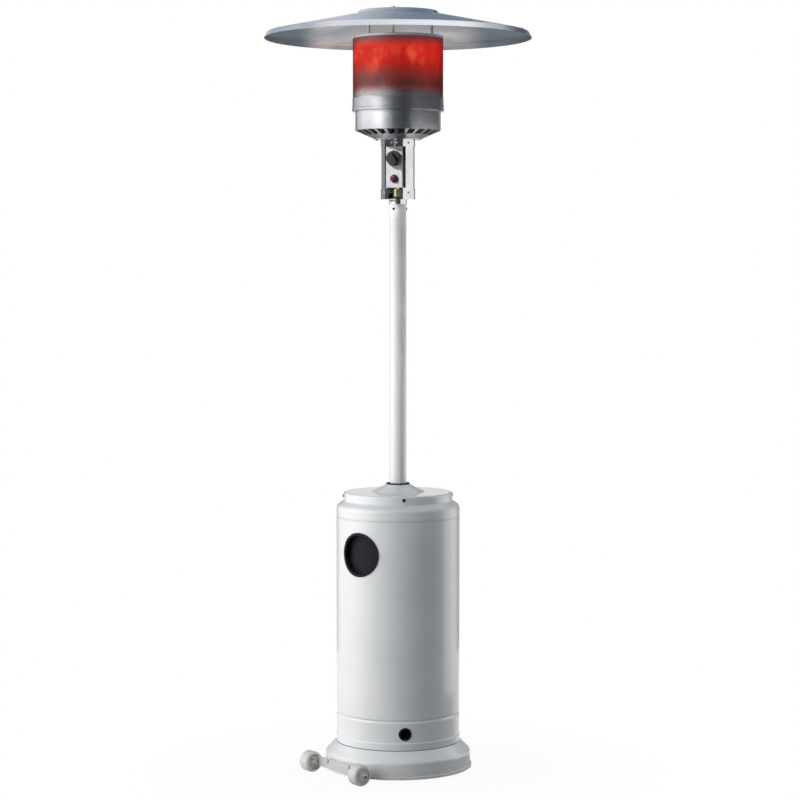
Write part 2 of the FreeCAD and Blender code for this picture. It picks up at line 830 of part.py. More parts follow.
def make_frame():
    """Three legs from the pan to the spider, and the post that stands on it."""
    legs = new_body("support_legs")
    bolts = new_body("leg_bolts")
    bolt_bore = size.leg_bolt_radius + size.screw_gap
    for number, azimuth in enumerate((size.leg_spread, 180, -size.leg_spread)):
        spot = on_circle(leg_circle, azimuth)
        tube = new_sketch(legs, f"leg_mark_{number}", "XY_Plane", lift=pan_top)
        draw_circles(tube, [(*spot, size.leg_radius)])
        pad(legs, f"leg_{number}", tube, size.leg_length)
        bore = new_sketch(legs, f"bolt_bore_mark_{number}", "XY_Plane", lift=pan_top)
        draw_circles(bore, [(*spot, bolt_bore)])
        cut(legs, f"bolt_bore_{number}", bore, size.leg_length, reverse=True)
        hollow = new_sketch(legs, f"hollow_mark_{number}", "XY_Plane", lift=pan_top + size.leg_plug_length)
        draw_circles(hollow, [(*spot, size.leg_bore_radius)])
        cut(legs, f"hollow_{number}", hollow, size.leg_length - 2 * size.leg_plug_length, reverse=True)
        for end, seat, sense in (("foot", pan_floor, RIGHT), ("head", spider_top, LEFT)):
            head = new_sketch(bolts, f"{end}_head_mark_{number}", "XY_Plane", lift=seat)
            draw_circles(head, [(*spot, size.leg_bolt_head_radius)])
            pad(bolts, f"{end}_head_{number}", head, size.leg_bolt_head_height, reverse=sense == RIGHT)
            shank = new_sketch(bolts, f"{end}_shank_mark_{number}", "XY_Plane", lift=seat)
            draw_circles(shank, [(*spot, size.leg_bolt_radius)])
            pad(bolts, f"{end}_shank_{number}", shank, size.leg_bolt_length, reverse=sense == LEFT)

    spider = new_body("top_spider")
    hub = new_sketch(spider, "hub_mark", "XY_Plane", lift=leg_top)
    draw_circles(hub, [(0, 0, size.spider_hub_radius), (0, 0, post_bore)])
    pad(spider, "hub", hub, size.spider_sheet)
    arm_start = (post_bore + size.spider_hub_radius) / 2
    arm_end = leg_circle + size.spider_arm_margin
    half = size.spider_arm_width / 2
    for number, azimuth in enumerate((size.leg_spread, 180, -size.leg_spread)):
        arm = new_sketch(spider, f"arm_mark_{number}", "YZ_Plane", azimuth=azimuth)
        draw_outline(arm, box_corners(-half, leg_top, half, spider_top))
        pad(spider, f"arm_{number}", arm, arm_end)
    bore = new_sketch(spider, "hose_hole_mark", "XY_Plane", lift=leg_top)
    draw_circles(bore, [(0, 0, post_bore)])
    cut(spider, "hose_hole", bore, size.spider_sheet, reverse=True)
    for number, azimuth in enumerate((size.leg_spread, 180, -size.leg_spread)):
        hole = new_sketch(spider, f"leg_hole_mark_{number}", "XY_Plane", lift=leg_top)
        draw_circles(hole, [(*on_circle(leg_circle, azimuth), bolt_bore)])
        cut(spider, f"leg_hole_{number}", hole, size.spider_sheet, reverse=True)
    flange_bore = size.flange_bolt_radius + size.screw_gap
    upright_holes(spider, "flange_hole", size.flange_bolt_circle, flange_bore, leg_top,
                  size.spider_sheet, size.flange_bolt_count)

    post = new_body("post")
    flange_top = spider_top + size.post_flange_sheet
    turned(post, "tube", [
        (post_bore, spider_top),
        (size.post_flange_radius, spider_top),
        (size.post_flange_radius, flange_top),
        (size.post_radius, flange_top),
        (size.post_radius, post_top),
        (post_bore, post_top),
    ])
    upright_holes(post, "flange_hole", size.flange_bolt_circle, flange_bore, spider_top,
                  size.post_flange_sheet, size.flange_bolt_count)
    radial_holes(post, "screw_hole", size.post_screw_azimuth, post_screw_level,
                 size.post_screw_radius + size.screw_gap, size.post_radius, size.post_screw_count)

    flange_bolts = new_body("flange_bolts")
    circle = size.flange_bolt_circle
    bolt = turned(flange_bolts, "bolt", [
        (circle, leg_top - size.flange_nut_height),
        (circle + size.flange_nut_radius, leg_top - size.flange_nut_height),
        (circle + size.flange_nut_radius, leg_top),
        (circle + size.flange_bolt_radius, leg_top),
        (circle + size.flange_bolt_radius, flange_top),
        (circle + size.flange_nut_radius, flange_top),
        (circle + size.flange_nut_radius, flange_top + size.flange_nut_height),
        (circle, flange_top + size.flange_nut_height),
    ], place=circle)
    around(flange_bolts, "bolt_ring", bolt, size.flange_bolt_count)


# Wheel set

def make_wheel_set():
    """Two angle brackets on the rim of the base, each with a stub axle, its cap and a wheel."""
    bracket = new_body("wheel_bracket")
    face_azimuth(bracket, size.wheel_azimuth)
    sheet = size.bracket_sheet
    back = bracket_back
    ear_end = back + size.bracket_ear_reach
    foot_end = ear_face - size.bracket_foot_length
    for name, side in (("near", LEFT), ("far", RIGHT)):
        plan = new_sketch(bracket, name + "_plan", "XY_Plane", lift=size.bracket_floor)
        draw_outline(plan, [
            (back, side * foot_end),
            (back, side * ear_face),
            (ear_end, side * ear_face),
            (ear_end, side * (ear_face - sheet)),
            (back + sheet, side * (ear_face - sheet)),
            (back + sheet, side * foot_end),
        ])
        pad(bracket, name + "_foot_and_ear", plan, size.bracket_height)
    axle_bore = size.axle_radius + size.snug_gap
    axle_mark = new_sketch(bracket, "axle_hole_mark", "XZ_Plane")
    draw_circles(axle_mark, [(axle_line, size.axle_height, axle_bore)])
    cut(bracket, "axle_holes", axle_mark, size.wheel_gauge, symmetric=True)
    bolt_marks = new_sketch(bracket, "bolt_hole_marks", "YZ_Plane")
    bolt_bore = size.bracket_bolt_radius + size.screw_gap
    spread = size.bracket_bolt_spread
    draw_circles(bolt_marks, [(side * spread, bracket_bolt_level, bolt_bore) for side in (LEFT, RIGHT)])
    cut(bracket, "bolt_holes", bolt_marks, back + sheet, reverse=True)

    make_bracket_bolts()

    axles = new_body("wheel_axle")
    face_azimuth(axles, size.wheel_azimuth)
    caps = new_body("axle_caps")
    face_azimuth(caps, size.wheel_azimuth)
    for name, side in (("near", LEFT), ("far", RIGHT)):
        make_stub_axle(axles, name + "_stub", side)
        make_axle_cap(caps, name + "_cap", side)
    make_wheel("wheel_right", LEFT)
    make_wheel("wheel_left", RIGHT)


def make_stub_axle(axles, name, side):
    """A headed pin through one ear, long enough to carry a wheel and its cap."""
    ear_inside = ear_face - size.bracket_sheet
    head_end = side * (ear_inside - size.axle_head_height)
    rod_end = side * (wheel_outer_face + size.wheel_play + size.axle_cap_depth - size.snug_gap)
    turned(axles, name, [
        (axle_line, head_end),
        (axle_line + size.axle_head_radius, head_end, size.axle_head_round),
        (axle_line + size.axle_head_radius, side * ear_inside),
        (axle_line + size.axle_radius, side * ear_inside),
        (axle_line + size.axle_radius, rod_end),
        (axle_line, rod_end),
    ], place=axle_line, plane="XY_Plane", lift=size.axle_height)


def make_bracket_bolts():
    """A bolt through each bracket's foot and the base wall, with a spacer and a nut."""
    bolts = new_body("bracket_bolts")
    face_azimuth(bolts, size.wheel_azimuth)
    radius = size.bracket_bolt_radius
    web_face = bracket_back + size.bracket_sheet
    half_chord = size.bracket_bolt_spread + size.bracket_spacer_radius
    wall_inside = chord_depth(base_radius - size.base_sheet, half_chord)
    wall_outside = chord_depth(base_radius, size.bracket_bolt_spread - size.bracket_spacer_radius)
    nut_face = wall_inside - size.bracket_nut_clearance
    for name, side in (("near_bolt", LEFT), ("far_bolt", RIGHT)):
        centre = side * size.bracket_bolt_spread
        turned(bolts, name, [
            (nut_face - size.bracket_nut_height, centre),
            (web_face + size.bracket_bolt_head_height, centre),
            (web_face + size.bracket_bolt_head_height, centre + size.bracket_bolt_head_radius,
             size.bracket_bolt_round),
            (web_face, centre + size.bracket_bolt_head_radius),
            (web_face, centre + radius),
            (bracket_back, centre + radius),
            (bracket_back, centre + size.bracket_spacer_radius),
            (wall_outside, centre + size.bracket_spacer_radius),
            (wall_outside, centre + radius),
            (nut_face, centre + radius),
            (nut_face, centre + size.bracket_nut_radius),
            (nut_face - size.bracket_nut_height, centre + size.bracket_nut_radius),
        ], along="across", place=centre, plane="XY_Plane", lift=bracket_bolt_level)


def chord_depth(radius, half_chord):
    """How far from the axis a chord of a circle lies."""
    square = radius * radius - half_chord * half_chord
    return Size(math.sqrt(square.number), f"sqrt({square.text})")


def make_axle_cap(caps, name, side):
    """A push-on cap over one end of the axle."""
    foot = side * (wheel_outer_face + size.wheel_play)
    floor = side * (wheel_outer_face + size.wheel_play + size.axle_cap_depth)
    crown = side * (wheel_outer_face + size.wheel_play + size.axle_cap_length)
    turned(caps, name, [
        (axle_line, floor),
        (axle_line + size.axle_radius + size.snug_gap, floor),
        (axle_line + size.axle_radius + size.snug_gap, foot),
        (axle_line + size.axle_cap_radius, foot),
        (axle_line + size.axle_cap_radius, crown, size.axle_cap_round),
        (axle_line, crown),
    ], place=axle_line, plane="XY_Plane", lift=size.axle_height)


def make_wheel(name, side):
    """A moulded wheel with a hub and a rim around a recessed web."""
    wheel = new_body(name)
    face_azimuth(wheel, size.wheel_azimuth)
    bore = axle_line + size.axle_radius + size.axle_gap
    hub = axle_line + size.wheel_hub_radius
    rim_bore = axle_line + size.wheel_radius - size.wheel_rim
    tread = axle_line + size.wheel_radius
    inner = side * wheel_inner_face
    outer = side * wheel_outer_face
    inner_web = side * (wheel_inner_face + size.wheel_recess)
    outer_web = side * (wheel_outer_face - size.wheel_recess)
    turned(wheel, "moulding", [
        (bore, inner),
        (hub, inner),
        (hub, inner_web),
        (rim_bore, inner_web),
        (rim_bore, inner),
        (tread, inner, size.wheel_round),
        (tread, outer, size.wheel_round),
        (rim_bore, outer),
        (rim_bore, outer_web),
        (hub, outer_web),
        (hub, outer),
        (bore, outer),
    ], place=axle_line, plane="XY_Plane", lift=size.axle_height)


# Bottle housing

def make_housing():
    """The lifting shell on its skirt, with its lid, grips and vent bush."""
    radius = size.housing_radius
    hem_top = seat_level + size.hem_height
    swage = seat_level + size.swage_height
    half_swage = size.swage_width / 2
    swage_radius = radius - size.swage_depth
    skirt = new_body("housing_skirt")
    turned_sheet(skirt, "skirt", [
        (radius + size.hem_depth, seat_level),
        (radius + size.hem_depth, hem_top),
        (radius, hem_top + size.hem_blend),
        (radius, swage - half_swage),
        (swage_radius, swage),
    ], size.housing_sheet, LEFT)
    vent_level = seat_level + size.vent_height
    vent_hole = size.vent_radius - size.vent_flange_width
    radial_holes(skirt, "vent_hole", size.vent_azimuth, vent_level, vent_hole, radius + size.hem_depth)

    shell = new_body("housing_shell")
    turned_sheet(shell, "shell", [
        (swage_radius, swage + size.snug_gap),
        (radius, swage + half_swage),
        (radius, shell_top),
    ], size.housing_sheet, LEFT)
    grip_level = shell_top - size.grip_drop
    grip_hole = size.grip_radius - size.grip_flange_width
    grip_mark = new_sketch(shell, "grip_hole_mark", "YZ_Plane", azimuth=size.grip_azimuth)
    draw_circles(grip_mark, [(0, grip_level, grip_hole)])
    cut(shell, "grip_holes", grip_mark, 2 * radius, symmetric=True)

    lid = new_body("housing_lid")
    joggle_radius = radius - size.housing_sheet - size.slide_gap
    lid_foot = shell_top + size.lid_seam
    cone_top = lid_top + size.lid_cone_rise
    cone_radius = lid_hole_radius + size.lid_cone_run
    turned_sheet(lid, "lid", [
        (joggle_radius, shell_top - size.lid_spigot_depth),
        (joggle_radius, lid_foot),
        (radius, lid_foot),
        (radius, lid_shoulder, size.lid_round),
        (lid_lip_radius, lid_lip_foot),
        (lid_lip_radius, lid_top, size.lid_lip_round),
        (cone_radius, lid_top),
        (lid_hole_radius, cone_top),
    ], size.lid_sheet, LEFT)
    grommet = new_body("post_grommet")
    grommet_bore = size.post_radius + 2 * size.slide_gap
    grommet_foot = cone_top + size.snug_gap
    grommet_radius = grommet_bore + size.grommet_width
    grommet_top = grommet_foot + size.grommet_height
    turned(grommet, "ring", [
        (grommet_bore, grommet_foot),
        (grommet_radius, grommet_foot),
        (grommet_radius, grommet_top, size.grommet_round),
        (grommet_bore, grommet_top, size.grommet_round),
    ])
    screw_level = lid_top - size.lid_screw_drop
    radial_holes(lid, "screw_hole", size.lid_screw_azimuth, screw_level,
                 size.lid_screw_radius + size.screw_gap, radius, size.lid_screw_count)

    screws = new_body("lid_screws")
    face_azimuth(screws, size.lid_screw_azimuth)
    radial_screws(screws, "screw", lid_lip_radius + size.snug_gap, screw_level, size.lid_screw_head_radius,
                  size.lid_screw_head_height, size.lid_screw_radius, size.lid_screw_length,
                  size.lid_screw_count)

    make_inserts("grip_cups", size.grip_azimuth, grip_level, size.grip_radius, grip_hole,
                 size.grip_flange_proud, size.grip_wall, size.grip_depth, through=True)
    make_inserts("vent_bush", size.vent_azimuth, vent_level, size.vent_radius, vent_hole,
                 size.vent_flange_proud, size.vent_wall, size.vent_depth, through=False)


def barrel(name, radius):
    """A solid barrel about the post's axis that spans the whole housing."""
    solid = doc.addObject("Part::Cylinder", name)
    bind(solid, "Radius", radius)
    bind(solid, "Height", shell_top)
    return solid


def plug(name, radius, level, through):
    """A round plug along X at a level; one that goes through reaches both sides of the housing."""
    solid = doc.addObject("Part::Cylinder", name)
    reach = 2 * size.housing_radius
    start = -reach if through else as_size(0)
    bind(solid, "Radius", radius)
    bind(solid, "Height", reach - start)
    lay_along = FreeCAD.Rotation(FreeCAD.Vector(0, 1, 0), 90)
    solid.Placement = FreeCAD.Placement(FreeCAD.Vector(start.number, 0, as_size(level).number), lay_along)
    bind(solid, "Placement.Base.x", start)
    bind(solid, "Placement.Base.z", level)
    return solid


def boolean(kind, name, base, tool):
    """One boolean of two document objects."""
    result = doc.addObject(f"Part::{kind}", name)
    result.Base = base
    result.Tool = tool
    return result


def curved_ring(name, level, outer, inner, face, back, through):
    """A ring cut from a barrel's wall: it follows the housing from its back radius to its face radius."""
    wall = boolean("Cut", name + "_wall", barrel(name + "_face", face), barrel(name + "_back", back))
    disc = plug(name + "_outside", outer, level, through)
    if inner is not None:
        disc = boolean("Cut", name + "_disc", disc, plug(name + "_inside", inner, level, through))
    return boolean("Common", name, wall, disc)


def make_inserts(label, azimuth, level, flange, hole, proud, wall, depth, through):
    """Round plastic inserts that follow the housing: a flange outside, a sleeve through its hole and,
    in a cup, a closed back."""
    face = size.housing_radius + proud
    flange_back = size.housing_radius + size.slide_gap
    sleeve = hole - size.slide_gap
    back = size.housing_radius - depth
    flange_ring = curved_ring(label + "_flange", level, flange, sleeve - wall, face, flange_back, through)
    sleeve_ring = curved_ring(label + "_sleeve", level, sleeve, sleeve - wall, face, back, through)
    insert = boolean("Fuse", label + "_rim" if through else label, flange_ring, sleeve_ring)
    if through:
        floor = curved_ring(label + "_floor", level, sleeve, None, back + wall, back, through)
        insert = boolean("Fuse", label, insert, floor)
    face_azimuth(insert, azimuth)
    pieces.append(insert)


# Neck and head column

def make_column():
    """Collar on the post, chrome column with its two bands, and the flange under the bowl."""
    neck = new_body("neck_sleeve")
    spigot = post_bore - size.slide_gap
    cup_top = column_floor + size.neck_cup_height
    turned(neck, "sleeve", [
        (size.neck_bore_radius, post_top - size.neck_spigot_length),
        (spigot, post_top - size.neck_spigot_length),
        (spigot, post_top),
        (size.neck_radius, post_top),
        (size.neck_radius, neck_top),
        (band_radius, neck_top),
        (band_radius, column_floor),
        (cup_radius, column_floor),
        (cup_radius, cup_top),
        (cup_radius - size.cup_wall, cup_top),
        (cup_radius - size.cup_wall, column_floor),
        (size.neck_bore_radius, column_floor),
    ])
    half = size.opening_width / 2
    sill = column_floor + size.opening_sill
    front = new_sketch(neck, "opening_mark", "YZ_Plane", azimuth=0)
    draw_outline(front, box_corners(-half, sill, half, cup_top + size.opening_sill))
    cut(neck, "opening", front, band_radius, reverse=True)
    radial_holes(neck, "post_screw_hole", size.post_screw_azimuth, post_screw_level,
                 size.post_screw_radius + size.screw_gap, post_bore, size.post_screw_count)
    band_hole = size.band_screw_radius + size.screw_gap
    radial_holes(neck, "band_screw_hole", size.band_screw_azimuth, lower_screw_level, band_hole,
                 cup_radius + size.slide_gap, size.band_screw_count)

    post_screws = new_body("post_screws")
    face_azimuth(post_screws, size.post_screw_azimuth)
    radial_screws(post_screws, "screw", size.post_radius + size.snug_gap, post_screw_level,
                  size.post_screw_head_radius, size.post_screw_head_height, size.post_screw_radius,
                  size.post_wall * 2, size.post_screw_count)

    shell = new_body("column_shell")
    turned(shell, "tube", [
        (column_bore, column_floor),
        (size.column_radius, column_floor),
        (size.column_radius, column_top),
        (column_bore, column_top),
    ])
    half_window = size.plate_width / 2 + size.window_margin
    window = new_sketch(shell, "window_mark", "YZ_Plane", azimuth=0)
    draw_outline(window, [
        (-half, sill),
        (half, sill),
        (half, plate_foot),
        (half_window, plate_foot),
        (half_window, upper_band_foot),
        (-half_window, upper_band_foot),
        (-half_window, plate_foot),
        (-half, plate_foot),
    ])
    cut(shell, "window", window, size.column_radius, reverse=True)
    for name, level in (("lower_hole", lower_screw_level), ("upper_hole", upper_screw_level)):
        radial_holes(shell, name, size.band_screw_azimuth, level, band_hole, size.column_radius,
                     size.band_screw_count)
    plate_screw_holes(shell, size.column_radius)

    lower = make_band("lower_band", column_floor, size.lower_band_height, lower_screw_level, band_hole)
    gap = new_sketch(lower, "opening_mark", "YZ_Plane", azimuth=0)
    gap_top = column_floor + size.lower_band_height + size.opening_sill
    draw_outline(gap, box_corners(-half, sill, half, gap_top))
    cut(lower, "opening", gap, band_radius, reverse=True)
    upper = make_band("upper_band", upper_band_foot, size.upper_band_height, upper_screw_level, band_hole)
    plate_screw_holes(upper, band_radius)

    screws = new_body("band_screws")
    face_azimuth(screws, size.band_screw_azimuth)
    length = band_radius + size.snug_gap - cup_radius + size.cup_wall
    for name, level in (("lower_screw", lower_screw_level), ("upper_screw", upper_screw_level)):
        radial_screws(screws, name, band_radius + size.snug_gap, level, size.band_screw_head_radius,
                      size.band_screw_head_height, size.band_screw_radius, length, size.band_screw_count)

    flange = new_body("head_flange")
    cup_foot = column_top - size.head_cup_height
    turned(flange, "flange", [
        (cup_radius - size.cup_wall, cup_foot),
        (cup_radius, cup_foot),
        (cup_radius, column_top),
        (size.bowl_floor_radius, column_top),
        (size.bowl_floor_radius, bowl_floor),
        (cup_radius - size.cup_wall, bowl_floor),
    ])
    radial_holes(flange, "band_screw_hole", size.band_screw_azimuth, upper_screw_level, band_hole,
                 cup_radius + size.slide_gap, size.band_screw_count)
    plate_screw_holes(flange, cup_radius + size.slide_gap)
    upright_holes(flange, "bowl_screw_hole", size.bowl_screw_circle, size.bowl_screw_radius + size.screw_gap,
                  column_top, size.head_flange_sheet, size.bowl_screw_count, size.head_azimuth)


def plate_screw_holes(body, reach):
    """Two holes at the front for the screws of the control plate's tab."""
    sketch = new_sketch(body, "plate_screw_marks", "YZ_Plane", azimuth=0)
    half = size.plate_screw_spread / 2
    hole = size.band_screw_radius + size.screw_gap
    draw_circles(sketch, [(side * half, upper_screw_level, hole) for side in (LEFT, RIGHT)])
    cut(body, "plate_screw_holes", sketch, reach, reverse=True)


def make_band(label, foot, height, screw_level, screw_hole):
    """A band around the column."""
    band = new_body(label)
    turned(band, "ring", box_corners(band_bore, foot, band_radius, foot + height))
    radial_holes(band, "screw_hole", size.band_screw_azimuth, screw_level, screw_hole, band_radius,
                 size.band_screw_count)
    return band


# Controls

def make_controls():
    """Control plate, gas valve with its spindle and knob, igniter, tilt switch and gas inlet."""
    half = size.plate_width / 2
    sheet = size.plate_sheet
    plate = new_body("control_plate")
    section = new_sketch(plate, "section", "XY_Plane", lift=plate_foot)
    rear = size.plate_return - plate_front
    draw_outline(section, [
        (-half, -plate_front, size.plate_bend),
        (half, -plate_front, size.plate_bend),
        (half, rear),
        (half - sheet, rear),
        (half - sheet, -plate_back),
        (sheet - half, -plate_back),
        (sheet - half, rear),
        (-half, rear),
    ])
    pad(plate, "front_and_returns", section, size.plate_height)
    tab_half = size.plate_tab_width / 2
    tab_front = chord_depth(cup_radius - size.cup_wall - size.snug_gap, tab_half)
    ledge = new_sketch(plate, "ledge_mark", "XY_Plane", lift=plate_top - sheet)
    draw_outline(ledge, box_corners(-tab_half, -plate_back, tab_half, sheet - tab_front))
    pad(plate, "ledge", ledge, sheet)
    tab = new_sketch(plate, "tab_mark", "XY_Plane", lift=plate_top - sheet)
    draw_outline(tab, box_corners(-tab_half, -tab_front, tab_half, sheet - tab_front))
    pad(plate, "tab", tab, sheet + size.plate_tab_height)
    holes = new_sketch(plate, "control_hole_marks", "XZ_Plane", lift=plate_front)
    spindle_hole = size.spindle_radius + size.slide_gap
    barrel_hole = size.barrel_radius + size.slide_gap
    draw_circles(holes, [(0, valve_level, spindle_hole), (0, igniter_level, barrel_hole)])
    cut(plate, "control_holes", holes, sheet)
    plate_screw_holes(plate, plate_front)

    screws = new_body("plate_screws")
    half_spread = size.plate_screw_spread / 2
    seat = band_radius + size.snug_gap
    tail = tab_front - sheet
    for name, side in (("left_screw", RIGHT), ("right_screw", LEFT)):
        centre = side * half_spread
        turned(screws, name, [
            (centre, -seat - size.band_screw_head_height),
            (centre + size.band_screw_head_radius, -seat - size.band_screw_head_height,
             size.band_screw_head_height * HEAD_ROUNDING),
            (centre + size.band_screw_head_radius, -seat),
            (centre + size.band_screw_radius, -seat),
            (centre + size.band_screw_radius, -tail),
            (centre, -tail),
        ], place=centre, plane="XY_Plane", lift=upper_screw_level)

    make_valve()
    make_igniter()

    switch = new_body("tilt_switch")
    near_side = size.neck_bore_radius + size.tilt_switch_offset
    half_depth = size.tilt_switch_depth / 2
    footprint = new_sketch(switch, "footprint", "XY_Plane", lift=column_floor)
    far_side = near_side + size.tilt_switch_width
    draw_outline(footprint, box_corners(near_side, -half_depth, far_side, half_depth))
    pad(switch, "case", footprint, size.tilt_switch_height)

    inlet = new_body("inlet_fitting")
    hex_foot = column_floor + size.inlet_hex_clearance
    hex_top = hex_foot + size.inlet_hex_height
    turned(inlet, "stub_and_nipple", [
        (0, hex_foot - size.inlet_length),
        (size.inlet_radius, hex_foot - size.inlet_length),
        (size.inlet_radius, hex_foot + size.slide_gap),
        (size.nipple_radius, hex_foot + size.slide_gap),
        (size.nipple_radius, valve_foot),
        (0, valve_foot),
    ])
    nut = new_sketch(inlet, "nut_mark", "XY_Plane", lift=hex_foot)
    draw_outline(nut, [on_circle(size.inlet_hex_radius, 60 * side) for side in range(6)])
    pad(inlet, "nut", nut, hex_top - hex_foot)


def make_valve():
    """Gas valve behind the plate, its sliding spindle and the knob on it."""
    half = size.valve_width / 2
    valve = new_body("gas_valve")
    block = new_sketch(valve, "block_mark", "XY_Plane", lift=valve_foot)
    draw_outline(block, box_corners(-half, -valve_face, half, size.valve_depth - valve_face))
    pad(valve, "block", block, size.valve_height)
    neck = new_sketch(valve, "neck_mark", "XZ_Plane", lift=valve_face)
    draw_circles(neck, [(0, valve_level, size.valve_neck_radius)])
    pad(valve, "neck", neck, size.valve_front_gap)
    bore = new_sketch(valve, "bore_mark", "XZ_Plane", lift=plate_back)
    draw_circles(bore, [(0, valve_level, size.spindle_radius + size.slide_gap)])
    cut(valve, "bore", bore, size.spindle_insertion + size.push_travel + size.push_margin)

    spindle = new_body("valve_spindle")
    start = plate_back - size.spindle_insertion
    face_panel(spindle, start, valve_level)
    tip = knob_back + size.spindle_grip_depth - start
    turned(spindle, "rod", box_corners(0, 0, size.spindle_radius, tip))

    knob = new_body("control_knob")
    face_panel(knob, knob_back, valve_level, turn=size.knob_bar_turn)
    bore_radius = size.spindle_radius + size.axle_gap
    bore_depth = size.spindle_grip_depth + size.slide_gap
    rim = size.knob_radius
    shoulder = rim - size.knob_taper
    turned(knob, "skirt", [
        (bore_radius, 0),
        (rim, 0),
        (rim, size.knob_skirt_edge),
        (shoulder, size.knob_skirt, size.knob_round),
        (bore_radius, size.knob_skirt),
    ])
    bar_half = size.knob_bar_width / 2
    bar_length = shoulder - size.knob_bar_margin
    bar = new_sketch(knob, "bar_mark", "XY_Plane", lift=size.knob_skirt)
    draw_outline(bar, [
        (-bar_half, -bar_length, size.knob_bar_round),
        (bar_half, -bar_length, size.knob_bar_round),
        (bar_half, bar_length, size.knob_bar_round),
        (-bar_half, bar_length, size.knob_bar_round),
    ])
    pad(knob, "bar", bar, size.knob_reach - size.knob_skirt)
    socket = new_sketch(knob, "socket_mark", "XY_Plane")
    draw_circles(socket, [(0, 0, bore_radius)])
    cut(knob, "socket", socket, bore_depth, reverse=True)


def make_igniter():
    """Push-button igniter: a barrel through the plate with a bezel in front, and its button."""
    igniter = new_body("igniter_body")
    face_panel(igniter, plate_back - size.igniter_length, igniter_level)
    plate_rear = size.igniter_length
    plate_face = plate_rear + size.plate_sheet
    bezel_face = plate_face + size.bezel_height
    bore_radius = size.button_radius + size.slide_gap
    bore_floor = bezel_face - size.button_stem - size.press_travel - size.press_margin
    turned(igniter, "barrel", [
        (0, 0),
        (size.barrel_radius, 0),
        (size.barrel_radius, plate_rear - size.igniter_nut_height),
        (size.igniter_nut_radius, plate_rear - size.igniter_nut_height),
        (size.igniter_nut_radius, plate_rear),
        (size.barrel_radius, plate_rear),
        (size.barrel_radius, plate_face),
        (size.bezel_radius, plate_face),
        (size.bezel_radius, bezel_face, size.bezel_round),
        (bore_radius, bezel_face),
        (bore_radius, bore_floor),
        (0, bore_floor),
    ])
    button = new_body("igniter_button")
    face_panel(button, plate_front + size.bezel_height - size.button_stem, igniter_level)
    crown = size.button_stem + size.button_proud
    turned(button, "cap", [
        (0, 0),
        (size.button_radius, 0),
        (size.button_radius, crown, size.button_round),
        (0, crown),
    ])


# Burner and emitter

def make_burner():
    """Gas tube, injector, slotted bowl and the burner inside it."""
    tube = new_body("gas_tube")
    turned(tube, "tube", box_corners(0, valve_head, size.gas_tube_radius, injector_foot))
    injector = new_body("injector")
    jet_top = injector_foot + size.injector_height
    turned(injector, "jet", [
        (0, injector_foot),
        (size.injector_radius, injector_foot),
        (size.injector_radius, jet_top - size.injector_radius),
        (size.injector_radius / 2, jet_top),
        (0, jet_top),
    ])

    bowl = new_body("burner_bowl")
    face_azimuth(bowl, size.head_azimuth)
    turned_sheet(bowl, "bowl", [
        (size.bowl_hole_radius, bowl_floor),
        (size.bowl_floor_radius, bowl_floor),
        (size.bowl_radius, bowl_wall_foot),
        (size.bowl_radius, bowl_top),
    ], size.bowl_sheet, LEFT)
    slot_end = size.bowl_radius - size.slot_inset
    slot = new_sketch(bowl, "slot_mark", "XY_Plane", lift=bowl_floor)
    half = size.slot_width / 2
    draw_outline(slot, box_corners(slot_end - size.slot_length, -half, slot_end, half))
    slot_cut = cut(bowl, "slot", slot, size.bowl_cone_rise + size.bowl_sheet, reverse=True)
    around(bowl, "slots", slot_cut, size.slot_count)
    upright_holes(bowl, "screw_hole", size.bowl_screw_circle, size.bowl_screw_radius + size.screw_gap,
                  bowl_floor, size.bowl_sheet, size.bowl_screw_count)

    screws = new_body("bowl_screws")
    face_azimuth(screws, size.head_azimuth)
    upright_screws(screws, "screw", size.bowl_screw_circle, column_top, size.bowl_screw_head_radius,
                   -size.bowl_screw_head_height, size.bowl_screw_radius, -size.bowl_screw_length,
                   size.bowl_screw_count)

    head = new_body("burner_head")
    turned_sheet(head, "dish", [
        (size.burner_foot_radius, burner_seat),
        (size.burner_throat_radius, burner_seat),
        (size.burner_throat_radius, burner_dish_foot),
        (size.burner_dish_radius, burner_dish_top),
        (size.burner_dish_radius, burner_rim),
    ], size.burner_sheet, RIGHT)

    plate = new_body("burner_plate")
    turned(plate, "disc", box_corners(0, burner_rim, size.burner_dish_radius, burner_plate_top))
    upright_holes(plate, "port", size.burner_port_circle, size.burner_port_radius, burner_rim,
                  size.burner_plate_sheet, size.burner_port_count)

    for label, azimuth, radius, height in (
            ("pilot_burner", size.pilot_azimuth, size.pilot_radius, size.pilot_height),
            ("thermocouple", size.probe_azimuth, size.probe_radius, size.probe_height)):
        rod = new_body(label)
        face_azimuth(rod, azimuth)
        turned(rod, "rod", [
            (size.pilot_circle, burner_plate_top),
            (size.pilot_circle + radius, burner_plate_top),
            (size.pilot_circle + radius, burner_plate_top + height, radius * TIP_ROUNDING),
            (size.pilot_circle, burner_plate_top + height),
        ], place=size.pilot_circle)


